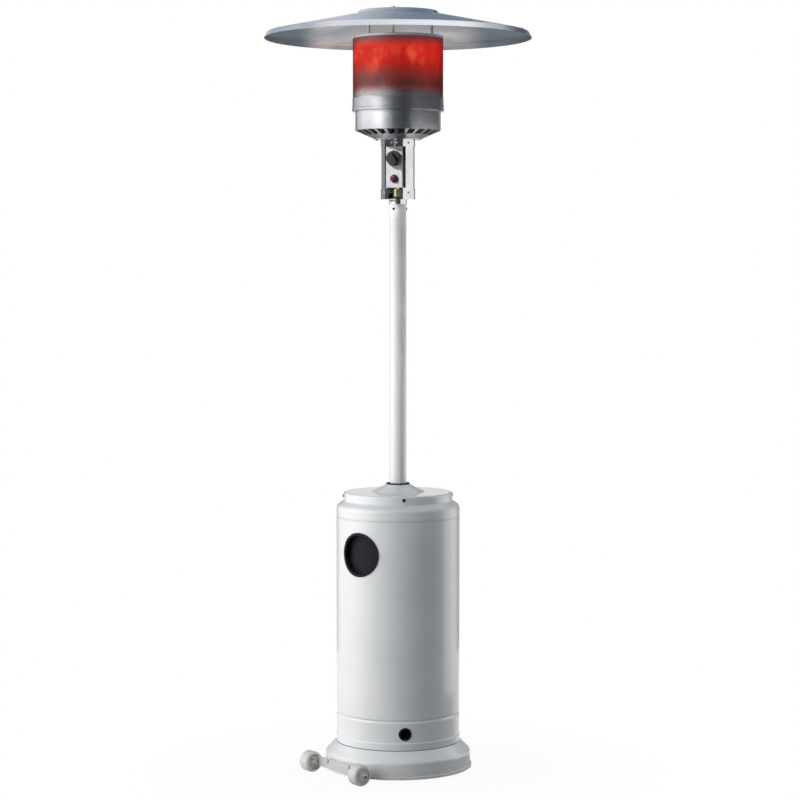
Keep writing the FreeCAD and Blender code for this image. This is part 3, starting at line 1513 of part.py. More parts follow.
def make_emitter():
    """Collar on the bowl, the screen that glows, and the cap that closes it."""
    collar = new_body("emitter_collar")
    bowl_bore = size.bowl_radius - size.bowl_sheet
    bead = size.collar_radius + size.collar_bead
    turned_sheet(collar, "collar", [
        (bowl_bore, bowl_top),
        (bead, bowl_top),
        (bead, bowl_top + size.collar_bead_height),
        (size.collar_radius, bowl_top + size.collar_bead_height + size.collar_bead),
        (size.collar_radius, bowl_top + size.collar_height),
    ], size.collar_sheet, LEFT)
    screw_level = bowl_top + size.collar_screw_rise
    screw_hole = size.collar_screw_radius + size.screw_gap
    radial_holes(collar, "screw_hole", size.head_azimuth, screw_level, screw_hole, size.collar_radius,
                 size.collar_screw_count)

    screen = new_body("emitter_screen")
    screen_bore = screen_radius - size.screen_sheet
    turned(screen, "screen", box_corners(screen_bore, screen_foot, screen_radius, screen_top))
    radial_holes(screen, "screw_hole", size.head_azimuth, screw_level, screw_hole, size.collar_radius,
                 size.collar_screw_count)

    screws = new_body("collar_screws")
    face_azimuth(screws, size.head_azimuth)
    seat = size.collar_radius + size.snug_gap
    radial_screws(screws, "screw", seat, screw_level, size.collar_screw_head_radius,
                  size.collar_screw_head_height, size.collar_screw_radius,
                  seat - screen_radius + size.screen_sheet * 2, size.collar_screw_count)

    cap = new_body("emitter_cap")
    lip_bore = screen_radius + size.snug_gap
    lip_radius = lip_bore + size.cap_sheet
    turned(cap, "disc", [
        (0, screen_top),
        (lip_bore, screen_top),
        (lip_bore, screen_top - size.cap_lip),
        (lip_radius, screen_top - size.cap_lip),
        (lip_radius, cap_top, size.cap_sheet * EDGE_ROUNDING),
        (0, cap_top),
    ])


# Hat

def make_hat():
    """Studs that stand on the emitter's cap, the reflector hat they carry, and its loops."""
    circle = size.stud_circle
    thread = size.stud_thread_radius
    studs = new_body("reflector_studs")
    face_azimuth(studs, size.head_azimuth)
    shoulder = cap_top + size.stud_length
    thread_top = crown_top + size.stud_thread_length
    stud = turned(studs, "stud", [
        (circle, cap_top),
        (circle + size.stud_radius, cap_top),
        (circle + size.stud_radius, shoulder),
        (circle + thread, shoulder),
        (circle + thread, thread_top),
        (circle, thread_top),
    ], place=circle)
    around(studs, "stud_ring", stud, size.stud_count)

    hole = thread + size.screw_gap
    rings = (("stud_washers", size.washer_radius, shoulder, crown_under),
             ("stud_nuts", size.stud_nut_radius, crown_top, crown_top + size.stud_nut_height))
    for label, radius, foot, top in rings:
        group = new_body(label)
        face_azimuth(group, size.head_azimuth)
        ring = turned(group, "ring", box_corners(circle + hole, foot, circle + radius, top), place=circle)
        around(group, "ring_set", ring, size.stud_count)

    hat = new_body("reflector")
    face_azimuth(hat, size.head_azimuth)
    turned_sheet(hat, "hat", [
        (0, crown_top),
        (size.crown_radius, crown_top, size.crown_round),
        (crown_foot_radius, crown_foot, size.crown_round),
        (hat_knee_radius, hat_knee, size.hat_round),
        (size.hat_radius, hat_edge),
    ], size.hat_sheet, RIGHT)
    upright_holes(hat, "stud_hole", circle, hole, crown_under, size.hat_sheet, size.stud_count)

    loops = new_body("lifting_loops")
    face_azimuth(loops, size.loop_azimuth)
    loop_circle = size.hat_radius - size.loop_inset
    slope = size.hat_fall / (hat_knee_radius - crown_foot_radius)
    foot = crown_foot - slope * (loop_circle - crown_foot_radius) + 2 * size.slide_gap
    wire = size.loop_wire_radius
    bend = size.loop_width / 2 - wire
    spine = new_sketch(loops, "loop_spine", "YZ_Plane", lift=loop_circle)
    draw_arch(spine, bend, foot, foot + size.loop_height - wire - bend)
    section = new_sketch(loops, "loop_section", "XY_Plane", lift=foot)
    draw_circles(section, [(loop_circle, -bend, wire)])
    loop = loops.newObject("PartDesign::AdditivePipe", "loop")
    loop.Profile = section
    loop.Spine = (spine, ["Edge1", "Edge2", "Edge3"])
    around(loops, "loop_pair", loop, 2)


def draw_arch(sketch, half, foot, shoulder):
    """An open arch: two legs and the half circle between them."""
    spots = [(-half, foot), (-half, shoulder), (half, shoulder), (half, foot)]
    vectors = [FreeCAD.Vector(as_size(a).number, as_size(u).number, 0) for a, u in spots]
    crown = (vectors[1] + vectors[2]) * 0.5
    near_leg = sketch.addGeometry(Part.LineSegment(vectors[0], vectors[1]), False)
    circle = Part.Circle(crown, UP, half.number)
    arc = sketch.addGeometry(Part.ArcOfCircle(circle, 0, math.pi), False)
    far_leg = sketch.addGeometry(Part.LineSegment(vectors[2], vectors[3]), False)
    for point, spot in zip(((near_leg, 1), (near_leg, 2), (far_leg, 1), (far_leg, 2)), spots):
        pin_point(sketch, point, *spot)
    sketch.addConstraint(Sketcher.Constraint("Tangent", near_leg, 2, arc, 2))
    sketch.addConstraint(Sketcher.Constraint("Coincident", arc, 1, far_leg, 1))


# Assembly and files

make_base()
make_frame()
make_wheel_set()
make_housing()
make_column()
make_controls()
make_burner()
make_emitter()
make_hat()
doc.recompute()

for item in doc.Objects:
    if "Invalid" in item.State or "Error" in item.State:
        raise RuntimeError(f"{item.Label} did not build: {item.State}")
for piece in pieces:
    if piece.Shape.isNull() or not piece.Shape.isValid() or not piece.Shape.Solids:
        raise RuntimeError(f"{piece.Label} has no sound shape")

os.makedirs("parts", exist_ok=True)
for piece in pieces:
    piece.Shape.exportStep(os.path.join("parts", f"{piece.Label}.step"))
print(f"{len(pieces)} parts written")
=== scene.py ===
"""Looks of a free-standing gas patio heater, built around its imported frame. Metres, +Z up, controls at -Y.

An azimuth is counted from the front (-Y) towards +X, so a point at radius r and azimuth a is
(r sin a, -r cos a, z).
"""
import json
import math

import bpy
import numpy as np
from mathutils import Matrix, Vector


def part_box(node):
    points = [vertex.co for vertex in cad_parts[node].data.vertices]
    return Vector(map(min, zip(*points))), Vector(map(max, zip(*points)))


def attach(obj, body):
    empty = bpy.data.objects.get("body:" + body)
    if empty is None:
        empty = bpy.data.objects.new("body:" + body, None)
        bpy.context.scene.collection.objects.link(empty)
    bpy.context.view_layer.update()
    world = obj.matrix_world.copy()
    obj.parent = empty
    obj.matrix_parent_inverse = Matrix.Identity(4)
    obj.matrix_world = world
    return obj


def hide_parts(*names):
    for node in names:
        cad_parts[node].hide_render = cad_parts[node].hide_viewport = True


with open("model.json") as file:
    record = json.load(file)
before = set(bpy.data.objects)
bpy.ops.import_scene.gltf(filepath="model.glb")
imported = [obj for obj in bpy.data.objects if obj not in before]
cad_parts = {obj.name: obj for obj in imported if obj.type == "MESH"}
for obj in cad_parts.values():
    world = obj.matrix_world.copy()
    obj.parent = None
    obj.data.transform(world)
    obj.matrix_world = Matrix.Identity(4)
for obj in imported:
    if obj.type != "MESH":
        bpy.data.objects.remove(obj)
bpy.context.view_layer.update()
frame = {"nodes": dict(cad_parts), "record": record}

MM = 0.001

# Camera: the photograph is 800 px wide, and its middle looks just right of the post's axis.
PHOTO_WIDTH = 800
FOCAL_PIXELS = 2300
SENSOR_WIDTH = 36.0
CAMERA_AZIMUTH = math.radians(12.5)
CAMERA_DISTANCE = 6.93
CAMERA_HEIGHT = 1.53
CAMERA_PITCH = math.radians(3.36)
CAMERA_CLIP = 100
AXIS_PIXEL = 398
VIEW_RIGHT = CAMERA_AZIMUTH + math.pi / 2

# Sheets and surfaces
SHEET_SIDES = 192
SHARP_ANGLE = math.radians(40)


def level_direction(azimuth):
    """The level unit vector at an azimuth, (sin a, -cos a, 0)."""
    return math.sin(azimuth), -math.cos(azimuth), 0.0


def from_camera(degrees):
    """The azimuth that lies this many degrees round from the camera's line."""
    return CAMERA_AZIMUTH + math.radians(degrees)


class Wire:
    """An output of a shader tree that takes part in Python arithmetic: each sign adds one Math node."""

    def __init__(self, tree, socket):
        self.tree = tree
        self.socket = socket

    def __add__(self, other):
        return self.tree.maths("ADD", self, other)

    def __sub__(self, other):
        return self.tree.maths("SUBTRACT", self, other)

    def __mul__(self, other):
        return self.tree.maths("MULTIPLY", self, other)

    def __rsub__(self, other):
        return self.tree.maths("SUBTRACT", other, self)

    __radd__ = __add__
    __rmul__ = __mul__

    def larger(self, other):
        """The larger of two values."""
        return self.tree.maths("MAXIMUM", self, other)

    def rise(self, low, high):
        """0 below low, 1 above high and a smooth step between them; high below low turns it round."""
        sockets = {"Value": self, "From Min": low, "From Max": high}
        return self.tree.node("ShaderNodeMapRange", {"interpolation_type": "SMOOTHSTEP"}, sockets)

    def mix(self, none, full):
        """A colour between two colours, at this value."""
        sockets = {0: self, 6: none, 7: full}
        return self.tree.node("ShaderNodeMix", {"data_type": "RGBA"}, sockets, output=2)


class Tree:
    """The node tree of one material or world."""

    def __init__(self, owner):
        owner.use_nodes = True
        self.owner = owner
        self.nodes = owner.node_tree.nodes
        self.links = owner.node_tree.links
        self.nodes.clear()

    def node(self, kind, settings=None, sockets=None, output=0):
        """Add a node of this type, set its settings, then its sockets, and return one of its outputs."""
        node = self.nodes.new(kind)
        for name, value in (settings or {}).items():
            if name == "stops":
                self.set_stops(node.color_ramp, value)
            else:
                setattr(node, name, value)
        for name, value in (sockets or {}).items():
            if isinstance(value, Wire):
                self.links.new(value.socket, node.inputs[name])
            elif isinstance(value, tuple) and len(value) == 3 and node.inputs[name].type == "RGBA":
                node.inputs[name].default_value = (*value, 1.0)
            else:
                node.inputs[name].default_value = value
        return Wire(self, node.outputs[output]) if node.outputs else node

    def set_stops(self, ramp, stops):
        """Give a colour ramp its (place, colour) stops."""
        while len(ramp.elements) < len(stops):
            ramp.elements.new(1.0)
        for element, (place, colour) in zip(ramp.elements, stops):
            element.position = place
            element.color = (*colour, 1.0)

    def maths(self, operation, first, second):
        return self.node("ShaderNodeMath", {"operation": operation}, {0: first, 1: second})

    def place(self):
        """The piece's own coordinates, in metres."""
        return self.node("ShaderNodeTexCoord", output="Object")

    def flat_place(self):
        """The piece's own coordinates, laid down on the floor."""
        return self.node("ShaderNodeVectorMath", {"operation": "MULTIPLY"}, {0: self.place(), 1: (1, 1, 0)})

    def normal(self):
        """The direction in which the sheet's own face looks."""
        return self.node("ShaderNodeNewGeometry", output="True Normal")

    def dot(self, first, second):
        """The scalar product of two vectors."""
        sockets = {0: first, 1: second}
        return self.node("ShaderNodeVectorMath", {"operation": "DOT_PRODUCT"}, sockets, output="Value")

    def height(self):
        """The height above the floor."""
        return self.node("ShaderNodeSeparateXYZ", None, {"Vector": self.place()}, output=2)

    def reach(self):
        """The distance from the post's axis."""
        sockets = {0: self.flat_place()}
        return self.node("ShaderNodeVectorMath", {"operation": "LENGTH"}, sockets, output="Value")

    def facing_up(self):
        """How far the sheet's own face looks up: 1 for a level top, -1 for a level underside."""
        return self.dot(self.normal(), (0, 0, 1))

    def comb(self, teeth):
        """A wave round the post's axis with this many teeth, from -1 to 1: 1 straight ahead."""
        parts = self.node("ShaderNodeSeparateXYZ", None, {"Vector": self.place()}).socket.node.outputs
        azimuth = self.maths("ARCTAN2", Wire(self, parts[0]), -1.0 * Wire(self, parts[1]))
        return self.maths("COSINE", azimuth * teeth, 0.0)

    def facing_out(self):
        """How far the sheet's own face looks away from the post's axis, times the distance from it."""
        return self.dot(self.flat_place(), self.normal())

    def facing(self, azimuth):
        """How far the sheet's own face looks towards an azimuth: 1 straight at it, -1 away from it."""
        return self.dot(self.normal(), level_direction(azimuth))

    def toward(self, azimuth):
        """How far a point lies from the post's axis in the direction of an azimuth."""
        return self.dot(self.place(), level_direction(azimuth))

    def noise(self, cells, detail=2.0, rough=0.5):
        """Noise with this many cells per metre along x, y and z, from 0 to 1."""
        if not isinstance(cells, tuple):
            cells = (cells, cells, cells)
        stretched = self.node("ShaderNodeMapping", None, {"Vector": self.place(), "Scale": cells})
        sockets = {"Vector": stretched, "Scale": 1.0, "Detail": detail, "Roughness": rough}
        return self.node("ShaderNodeTexNoise", None, sockets)

    def spots(self, cells, size):
        """Round specks: 1 inside a speck and 0 outside, with this many cells per metre."""
        near = self.node("ShaderNodeTexVoronoi", None, {"Vector": self.place(), "Scale": cells})
        return near.rise(size, size * 0.7)

    def bump(self, height, depth, strength):
        """A normal from a height of 0 to 1 that stands for this many metres."""
        sockets = {"Height": height, "Distance": depth, "Strength": strength}
        return self.node("ShaderNodeBump", None, sockets)

    def surface(self, **sockets):
        """Close the tree with one Principled shader, whose sockets are named with underscores for spaces."""
        named = {name.replace("_", " "): value for name, value in sockets.items()}
        shader = self.node("ShaderNodeBsdfPrincipled", None, named)
        self.node("ShaderNodeOutputMaterial", None, {"Surface": shader})
        return self.owner


def new_finish(name):
    return Tree(bpy.data.materials.new(name))


# Finishes

def powder_coat(name, colour, gloss):
    """Baked powder paint: orange peel, faint mottling and a glossy skin.

    Dust dulls it near the floor, and a painted shade line darkens it along the lid's seam.
    """
    finish = new_finish(name)
    mottle = finish.noise(7.0, detail=3.0)
    level = finish.height()
    # A thin band at the lid's seam is painted darker: painted shade where the lid meets the shell.
    seam_shade = level.rise(LID_SEAM - SEAM_SHADE_SPREAD, LID_SEAM) * level.rise(LID_SEAM + SEAM_SHADE_SPREAD, LID_SEAM)
    dust = level.rise(DUST_HEIGHT, 0.0) * finish.noise(60.0, detail=4.0).rise(0.35, 0.8)
    shaded = tuple(channel * 0.955 for channel in colour)
    # One darker tone serves both the dust and the painted shade at the seam.
    dust_and_shade_tone = tuple(channel * tint for channel, tint in zip(colour, (0.8, 0.785, 0.755)))
    paint = (0.6 * dust + 0.75 * seam_shade).mix(mottle.rise(0.3, 0.7).mix(shaded, colour), dust_and_shade_tone)
    peel = finish.noise(420.0, detail=1.0) + 0.4 * finish.noise(1300.0, detail=1.0)
    return finish.surface(
        Base_Color=paint, Roughness=gloss + 0.1 * mottle + 0.25 * dust, Coat_Weight=0.75 - 0.5 * dust,
        Coat_Roughness=0.06, Specular_IOR_Level=0.5, Normal=finish.bump(peel, 0.03 * MM, 0.5))


def brushing(finish, cells):
    """Three values from 0 to 1: streaks along the brushing, faint smears, and a tone made of both."""
    streak = finish.noise(cells, detail=3.0, rough=0.7)
    smear = finish.noise(18.0, detail=3.0)
    return streak, smear, (0.6 * streak + 0.4 * smear).rise(0.3, 0.7)


def brushed_sheet(name, colour, cells, rough, metal=1.0):
    """Brushed stainless sheet: fine streaks along the brushing and faint smears."""
    finish = new_finish(name)
    streak, smear, tone = brushing(finish, cells)
    darker = tuple(channel * 0.84 for channel in colour)
    return finish.surface(
        Base_Color=tone.mix(darker, colour), Metallic=metal, Roughness=rough + 0.12 * streak + 0.08 * smear,
        Normal=finish.bump(streak, 0.012 * MM, 0.35))


def soot_and_shade_bowl():
    """The bowl's brushed steel: darker on its downward faces, with soot inside it and painted shade round the
    edges of its slots.
    """
    finish = new_finish("soot_and_shade_bowl")
    streak, smear, tone = brushing(finish, BRUSHED_AROUND)
    clean = tone.mix((0.52, 0.53, 0.55), (0.62, 0.63, 0.65))
    under = finish.facing_up().rise(-0.15, -0.5)
    reach = finish.reach()
    slot_start = BOWL_RADIUS - SLOT_REACH
    along_slot = reach.rise(slot_start, slot_start + SLOT_END_FADE)
    along_slot = along_slot * reach.rise(BOWL_RADIUS - SLOT_RIM_CLEAR, BOWL_RADIUS - SLOT_END_FADE)
    # The slots' edges are painted nearly black: painted shade that makes the dark slots read wider.
    slot_shade = finish.comb(SLOT_COUNT).rise(0.4, 0.55) * along_slot * under
    soot_and_slot_shade = slot_shade.larger(finish.facing_out().rise(BOWL_INSIDE_FADE, -BOWL_INSIDE_FADE))
    tone = soot_and_slot_shade.mix(under.mix(clean, (0.43, 0.435, 0.45)), (0.01, 0.009, 0.009))
    return finish.surface(
        Base_Color=tone, Metallic=1.0, Roughness=0.17 + 0.12 * streak + 0.08 * smear + 0.3 * soot_and_slot_shade,
        Normal=finish.bump(streak, 0.012 * MM, 0.35))


def chrome_plate(name, dull_inside):
    """Polished plating: nearly a mirror, with a fine haze and faint waves of the sheet under it.

    dull_inside is the share of plain grey on the faces turned to the post's axis.
    """
    finish = new_finish(name)
    haze = finish.noise(30.0, detail=4.0)
    wave = finish.noise(22.0, detail=1.0)
    tone = haze.rise(0.3, 0.75).mix((0.68, 0.69, 0.71), (0.8, 0.81, 0.82))
    bare = dull_inside * finish.facing_out().rise(PLATED_INSIDE_FADE, -PLATED_INSIDE_FADE)
    return finish.surface(
        Base_Color=bare.mix(tone, (0.62, 0.61, 0.65)), Metallic=1.0 - bare,
        Roughness=0.05 + 0.1 * haze.rise(0.45, 0.8) + 0.5 * bare, Normal=finish.bump(wave, 0.25 * MM, 0.35))


def hat_sheet():
    """Rolled aluminium: rings of the forming tool and soft blooms, bright above and dulled by heat below,
    with a painted dark reflection across the top and painted shade at the ends of the lip and of the
    underside.
    """
    finish = new_finish("hat_sheet")
    rings = finish.node("ShaderNodeTexNoise", {"noise_dimensions": "1D"},
                        {"W": finish.reach(), "Scale": 900.0, "Detail": 3.0})
    bloom = finish.noise(9.0, detail=3.0)
    scorch = finish.reach().rise(*HAT_SCORCH) * finish.noise(11.0, detail=3.0).rise(0.25, 0.7)
    worn = (0.45 * rings + 0.55 * bloom).rise(0.32, 0.68)
    across = finish.toward(VIEW_RIGHT)
    # A dark blue patch across the top is a painted reflection: it wanders with noise and stops short of the
    # rim.
    painted_reflection = (across + HAT_PAINTED_REFLECTION_WANDER * finish.noise(6.0, detail=2.0)).rise(*HAT_PAINTED_REFLECTION)
    painted_reflection = painted_reflection * finish.reach().rise(*HAT_PAINTED_REFLECTION_RIM)
    above = painted_reflection.mix(worn.mix((0.9, 0.92, 0.95), (0.97, 0.98, 1.0)), (0.13, 0.2, 0.31))
    # The lip's ends, far left and right as the camera sees them, get painted shade.
    lip_end_shade = finish.reach().rise(*HAT_LIP) * (across * across).rise(*HAT_LIP_END_SHADE_SQUARED)
    above = (lip_end_shade * 0.8).mix(above, (0.42, 0.48, 0.55))
    stain = finish.noise(4.5, detail=3.0).rise(0.4, 0.62)
    # The underside's far ends, left and right as the camera sees them, get painted shade.
    shaded_end = across.rise(*HAT_DARK_RIGHT).larger(across.rise(*HAT_DARK_LEFT))
    clean = stain.mix((0.46, 0.52, 0.57), (0.87, 0.79, 0.77))
    below = shaded_end.mix(scorch.mix(clean, (0.56, 0.535, 0.545)), (0.21, 0.26, 0.3))
    outside = finish.facing_up().rise(-0.25, 0.05)
    return finish.surface(
        Base_Color=outside.mix(below, above), Metallic=1.0,
        Roughness=0.46 - 0.28 * outside + 0.1 * bloom + 0.05 * rings,
        Normal=finish.bump(finish.noise(5.0, detail=1.0) + 0.004 * rings, 5 * MM, 1.0))


def hot_screen():
    """Perforated steel at work: dull grey at the foot, then red heat that grows with the height.

    The glow is strongest three quarters of the way from the collar to the cap. Across the screen as the
    camera sees it, from q = -1 to 1, it follows 1 + 2 q^2 - 2.2 q^4 - 0.2 q, a painted brightening towards
    the sides, and the very edges dim by up to half, a painted shade.
    """
    finish = new_finish("hot_screen")
    foot, top = SCREEN_GLOW
    sockets = {"Value": finish.height(), "From Min": foot, "From Max": top}
    level = finish.node("ShaderNodeMapRange", None, sockets)
    tongues = finish.noise((20.0, 20.0, 13.0), detail=4.0, rough=0.6).rise(0.28, 0.72)
    aside = finish.toward(VIEW_RIGHT) * (1.0 / SCREEN_RADIUS)
    square = aside * aside
    view_glow_shape = 1.0 + 2.0 * square - 2.2 * square * square - 0.2 * aside
    edge_shade = square.rise(0.9, 1.0)
    end_band = level.rise(0.8, 1.0)
    heat = (0.14 * level.rise(0.04, 0.17) + 0.86 * level.rise(0.2, 0.75)) * view_glow_shape
    patches = finish.noise((11.0, 11.0, 17.0), detail=2.5).rise(0.42, 0.72)
    patches = patches * level.rise(0.12, 0.25) * level.rise(0.66, 0.35)
    heat = heat * (1.0 - 0.88 * end_band) * (1.0 - 0.5 * edge_shade) * (1.0 - 0.5 * patches)
    flicker = 0.68 + 0.3 * tongues
    licks = tongues.rise(0.35, 1.0) * level.rise(0.95, 0.7)
    ember = licks.mix((0.62, 0.016, 0.011), (0.74, 0.07, 0.026))
    glow = (heat * flicker).mix((0.0, 0.0, 0.0), ember)
    # Dark specks low on the screen are painted shade, standing for the dark inside seen through the
    # perforations.
    hole_shade_specks = finish.spots(70.0, 0.16) * level.rise(0.4, 0.1)
    steel = hole_shade_specks.mix((0.42, 0.4, 0.41), (0.05, 0.04, 0.045))
    scaled = level.rise(0.3, 0.6).mix((0.17, 0.1, 0.095), (0.08, 0.035, 0.03))
    scaled = patches.mix(scaled, (0.15, 0.105, 0.095))
    warm = (level.rise(0.03, 0.2) * (1.0 - 0.5 * end_band)).mix(steel, scaled)
    return finish.surface(
        Base_Color=warm, Metallic=1.0, Roughness=0.36 + 0.2 * level.rise(0.05, 0.3),
        Specular_Tint=(0.3, 0.12, 0.1), Emission_Color=glow, Emission_Strength=1.0)


def burnt_steel():
    """Steel that has been through the flame: straw, brown and blue tints over dull grey."""
    finish = new_finish("burnt_steel")
    tint = finish.node("ShaderNodeValToRGB", {"stops": [
        (0.3, (0.3, 0.29, 0.28)), (0.45, (0.36, 0.27, 0.16)), (0.58, (0.24, 0.15, 0.17)),
        (0.72, (0.17, 0.2, 0.28))]}, {"Fac": finish.noise(26.0, detail=3.0)})
    return finish.surface(Base_Color=tint, Metallic=1.0, Roughness=0.35 + 0.2 * finish.noise(200.0))


def zinc_plate():
    """Yellow passivated zinc: a greenish gold bloom over bright steel, dull in patches."""
    finish = new_finish("zinc_plate")
    bloom = finish.noise(160.0, detail=3.0)
    tone = bloom.rise(0.3, 0.7).mix((0.74, 0.72, 0.46), (0.92, 0.9, 0.68))
    return finish.surface(Base_Color=tone, Metallic=0.15, Roughness=0.3 + 0.2 * bloom)


def turned_brass():
    """Turned brass: fine rings from the lathe and a dull tarnish."""
    finish = new_finish("turned_brass")
    rings = finish.noise((40.0, 40.0, 2600.0), detail=1.0)
    tarnish = finish.noise(90.0, detail=3.0).rise(0.35, 0.75)
    tone = tarnish.mix((0.52, 0.51, 0.27), (0.44, 0.43, 0.22))
    return finish.surface(
        Base_Color=tone, Metallic=0.1, Roughness=0.38 + 0.16 * tarnish,
        Normal=finish.bump(rings, 0.02 * MM, 0.5))


def cast_metal():
    """Sand-cast alloy: a dull grain with darker pits."""
    finish = new_finish("cast_metal")
    grain = finish.noise(700.0, detail=3.0)
    tone = grain.rise(0.3, 0.7).mix((0.33, 0.33, 0.34), (0.52, 0.52, 0.53))
    return finish.surface(
        Base_Color=tone, Metallic=0.85, Roughness=0.5, Normal=finish.bump(grain, 0.15 * MM, 0.6))


def flow_marks(finish):
    """The faint clouds that flowing plastic leaves in a moulding, from 0 to 1."""
    return finish.noise(40.0, detail=3.0)


def moulded_skin(finish, tone, rough, grain_depth):
    """Close the tree of a moulding: a fine spark-eroded grain and worn, shinier high spots."""
    grain = finish.noise(1500.0, detail=2.0)
    return finish.surface(
        Base_Color=tone, Roughness=rough + 0.12 * flow_marks(finish) - 0.05 * grain, Specular_IOR_Level=0.5,
        Normal=finish.bump(grain, grain_depth, 0.6))


def moulded_plastic(name, colour, rough, grain_depth):
    """Moulded plastic in one colour, a little paler along its flow marks."""
    finish = new_finish(name)
    paler = tuple(min(1.0, channel * 1.35 + 0.004) for channel in colour)
    tone = flow_marks(finish).rise(0.35, 0.75).mix(colour, paler)
    return moulded_skin(finish, tone, rough, grain_depth)


def wheel_painted_light():
    """Moulded wheel plastic: painted light on the sides, which are paler, and painted shade on the darker
    tread.
    """
    finish = new_finish("wheel_painted_light")
    along_axle = finish.facing(WHEEL_AZIMUTH + math.pi / 2)
    side_painted_light = (along_axle * along_axle).rise(0.3, 0.8)
    # The faces turned along the axle are painted paler than the tread: painted light and shade by face
    # direction.
    tone = side_painted_light.mix((0.66, 0.655, 0.635), (0.95, 0.94, 0.86))
    return moulded_skin(finish, tone, 0.38, 0.05 * MM)


def dull_rubber():
    """Black rubber with a dusty bloom low down."""
    finish = new_finish("dull_rubber")
    dust = finish.noise(120.0, detail=4.0).rise(0.4, 0.8) * finish.height().rise(FOOT_DUST_HEIGHT, 0.0)
    tone = dust.mix((0.02, 0.02, 0.021), (0.14, 0.13, 0.12))
    return finish.surface(Base_Color=tone, Roughness=0.75 + 0.15 * dust)


# Surfaces

def ring_points(radius, level, azimuth):
    """Points (r sin a, -r cos a, z) of arrays of radius, level and azimuth that broadcast together."""
    radius, level, azimuth = np.broadcast_arrays(radius, level, azimuth)
    return np.stack([radius * np.sin(azimuth), -radius * np.cos(azimuth), level], axis=-1)


def turns(count):
    """Azimuths of a full turn, evenly spaced, without the last one that closes it."""
    return np.arange(count) * (2 * math.pi / count)


def new_piece(name, points, quads, finish, body, replaces=()):
    """Put arrays of points and quads into a mesh object that rides on a body."""
    points = np.asarray(points, float).reshape(-1, 3)
    quads = np.asarray(quads, int).reshape(-1, 4)
    mesh = bpy.data.meshes.new(name)
    mesh.vertices.add(len(points))
    mesh.vertices.foreach_set("co", points.ravel())
    mesh.loops.add(quads.size)
    mesh.loops.foreach_set("vertex_index", quads.ravel())
    mesh.polygons.add(len(quads))
    mesh.polygons.foreach_set("loop_start", np.arange(len(quads)) * quads.shape[1])
    mesh.update(calc_edges=True)
    mesh.validate()
    mesh.shade_smooth()
    mesh.set_sharp_from_angle(angle=SHARP_ANGLE)
    mesh.materials.append(finish)
    piece = bpy.data.objects.new(name, mesh)
    bpy.context.scene.collection.objects.link(piece)
    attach(piece, body)
    if replaces:
        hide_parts(*replaces)


def grid_quads(rows, columns, close_rows=False):
    """Quads of a grid of points numbered row by row: each row is a ring, and the last can join the first."""
    row = np.arange(rows if close_rows else rows - 1)[:, None]
    column = np.arange(columns)[None, :]
    next_row, next_column = (row + 1) % rows, (column + 1) % columns
    return np.stack(np.broadcast_arrays(
        row * columns + column, row * columns + next_column,
        next_row * columns + next_column, next_row * columns + column), axis=-1).reshape(-1, 4)


# Places and sizes

def corner(node, end):
    """The lowest (0) or highest (1) corner of a CAD node, as an array in metres."""
    return np.array(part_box(node)[end])


COLLAR_TOP = corner("emitter_collar", 1)[2]
SCREEN_FOOT = corner("emitter_screen", 0)[2]
SCREEN_TOP = corner("emitter_screen", 1)[2]
SCREEN_RADIUS = corner("emitter_screen", 1)[0]
CAP_EDGE = corner("emitter_cap", 0)[2]
SCREEN_GLOW = (COLLAR_TOP, CAP_EDGE)
SCREEN_SHEET = 0.8 * MM
SCREEN_COLUMNS = 120
SCREEN_ROWS = 27
SCREEN_HOLE = 1.0 * MM
SCREEN_MARGIN = 2 * MM

BOWL_RADIUS = corner("burner_bowl", 1)[0]
SLOT_COUNT = 24
SLOT_REACH = 33 * MM
SLOT_END_FADE = 2 * MM
SLOT_RIM_CLEAR = 0.5 * MM
BOWL_INSIDE_FADE = 4 * MM
PLATED_INSIDE_FADE = 2 * MM

# Cells of brushing per metre along x, y and z
BRUSHED_AROUND = (60.0, 60.0, 3000.0)
BRUSHED_UPRIGHT = (3000.0, 3000.0, 50.0)

# Where the hat's tones begin and end, in metres from the axis
HAT_SCORCH = (0.33, 0.12)
HAT_PAINTED_REFLECTION_RIM = (0.395, 0.385)
HAT_LIP = (0.35, 0.37)

# The same, in metres to the right of the axis as the camera sees it
# The painted reflection on the hat's top, and the painted shade at the ends of its lip and underside
HAT_PAINTED_REFLECTION = (-0.13, 0.12)
HAT_PAINTED_REFLECTION_WANDER = 0.09
HAT_DARK_RIGHT = (0.15, 0.29)
HAT_DARK_LEFT = (-0.23, -0.31)
HAT_LIP_END_SHADE_SQUARED = (0.03, 0.075)

HAT_TOP = corner("reflector", 1)[2]
CROWN_FLANK_RUN = 6.0 * MM
CROWN_FLANK_RISE = 8.7 * MM
RIVET_REACH = 120.5 * MM
RIVET_DROP = 4.35 * MM
RIVET_RADIUS = 3.2 * MM
RIVET_RISE = 1.6 * MM
RIVET_LEAN = math.atan2(CROWN_FLANK_RISE, CROWN_FLANK_RUN)
RIVET_AZIMUTHS = np.radians([5, 125, 245])
RIVET_SIDES = 20
RIVET_RINGS = 6

LID_SEAM = corner("housing_shell", 1)[2]
# Half the height of the painted shade line along the lid's seam
SEAM_SHADE_SPREAD = 5 * MM
DUST_HEIGHT = 70 * MM
FOOT_DUST_HEIGHT = 14 * MM

HEM_FOOT = corner("housing_skirt", 0)[2]
HEM_RADIUS = corner("housing_skirt", 1)[0]
STRIP_INSIDE = 1.6 * MM
STRIP_OUTSIDE = 0.3 * MM
STRIP_TALL = 1.5 * MM
STRIP_GAP = 0.1 * MM

WHEEL_AZIMUTH = math.radians(-40)
BAR_GAP = 0.3 * MM
BAR_SEAT = corner("base_pan", 1)[0] + BAR_GAP
BAR_SHEET = 2.5 * MM
BAR_HALF_LENGTH = 41.9 * MM
BAR_FOOT = corner("wheel_bracket", 0)[2]
BAR_TOP = corner("wheel_bracket", 1)[2]


# Pieces

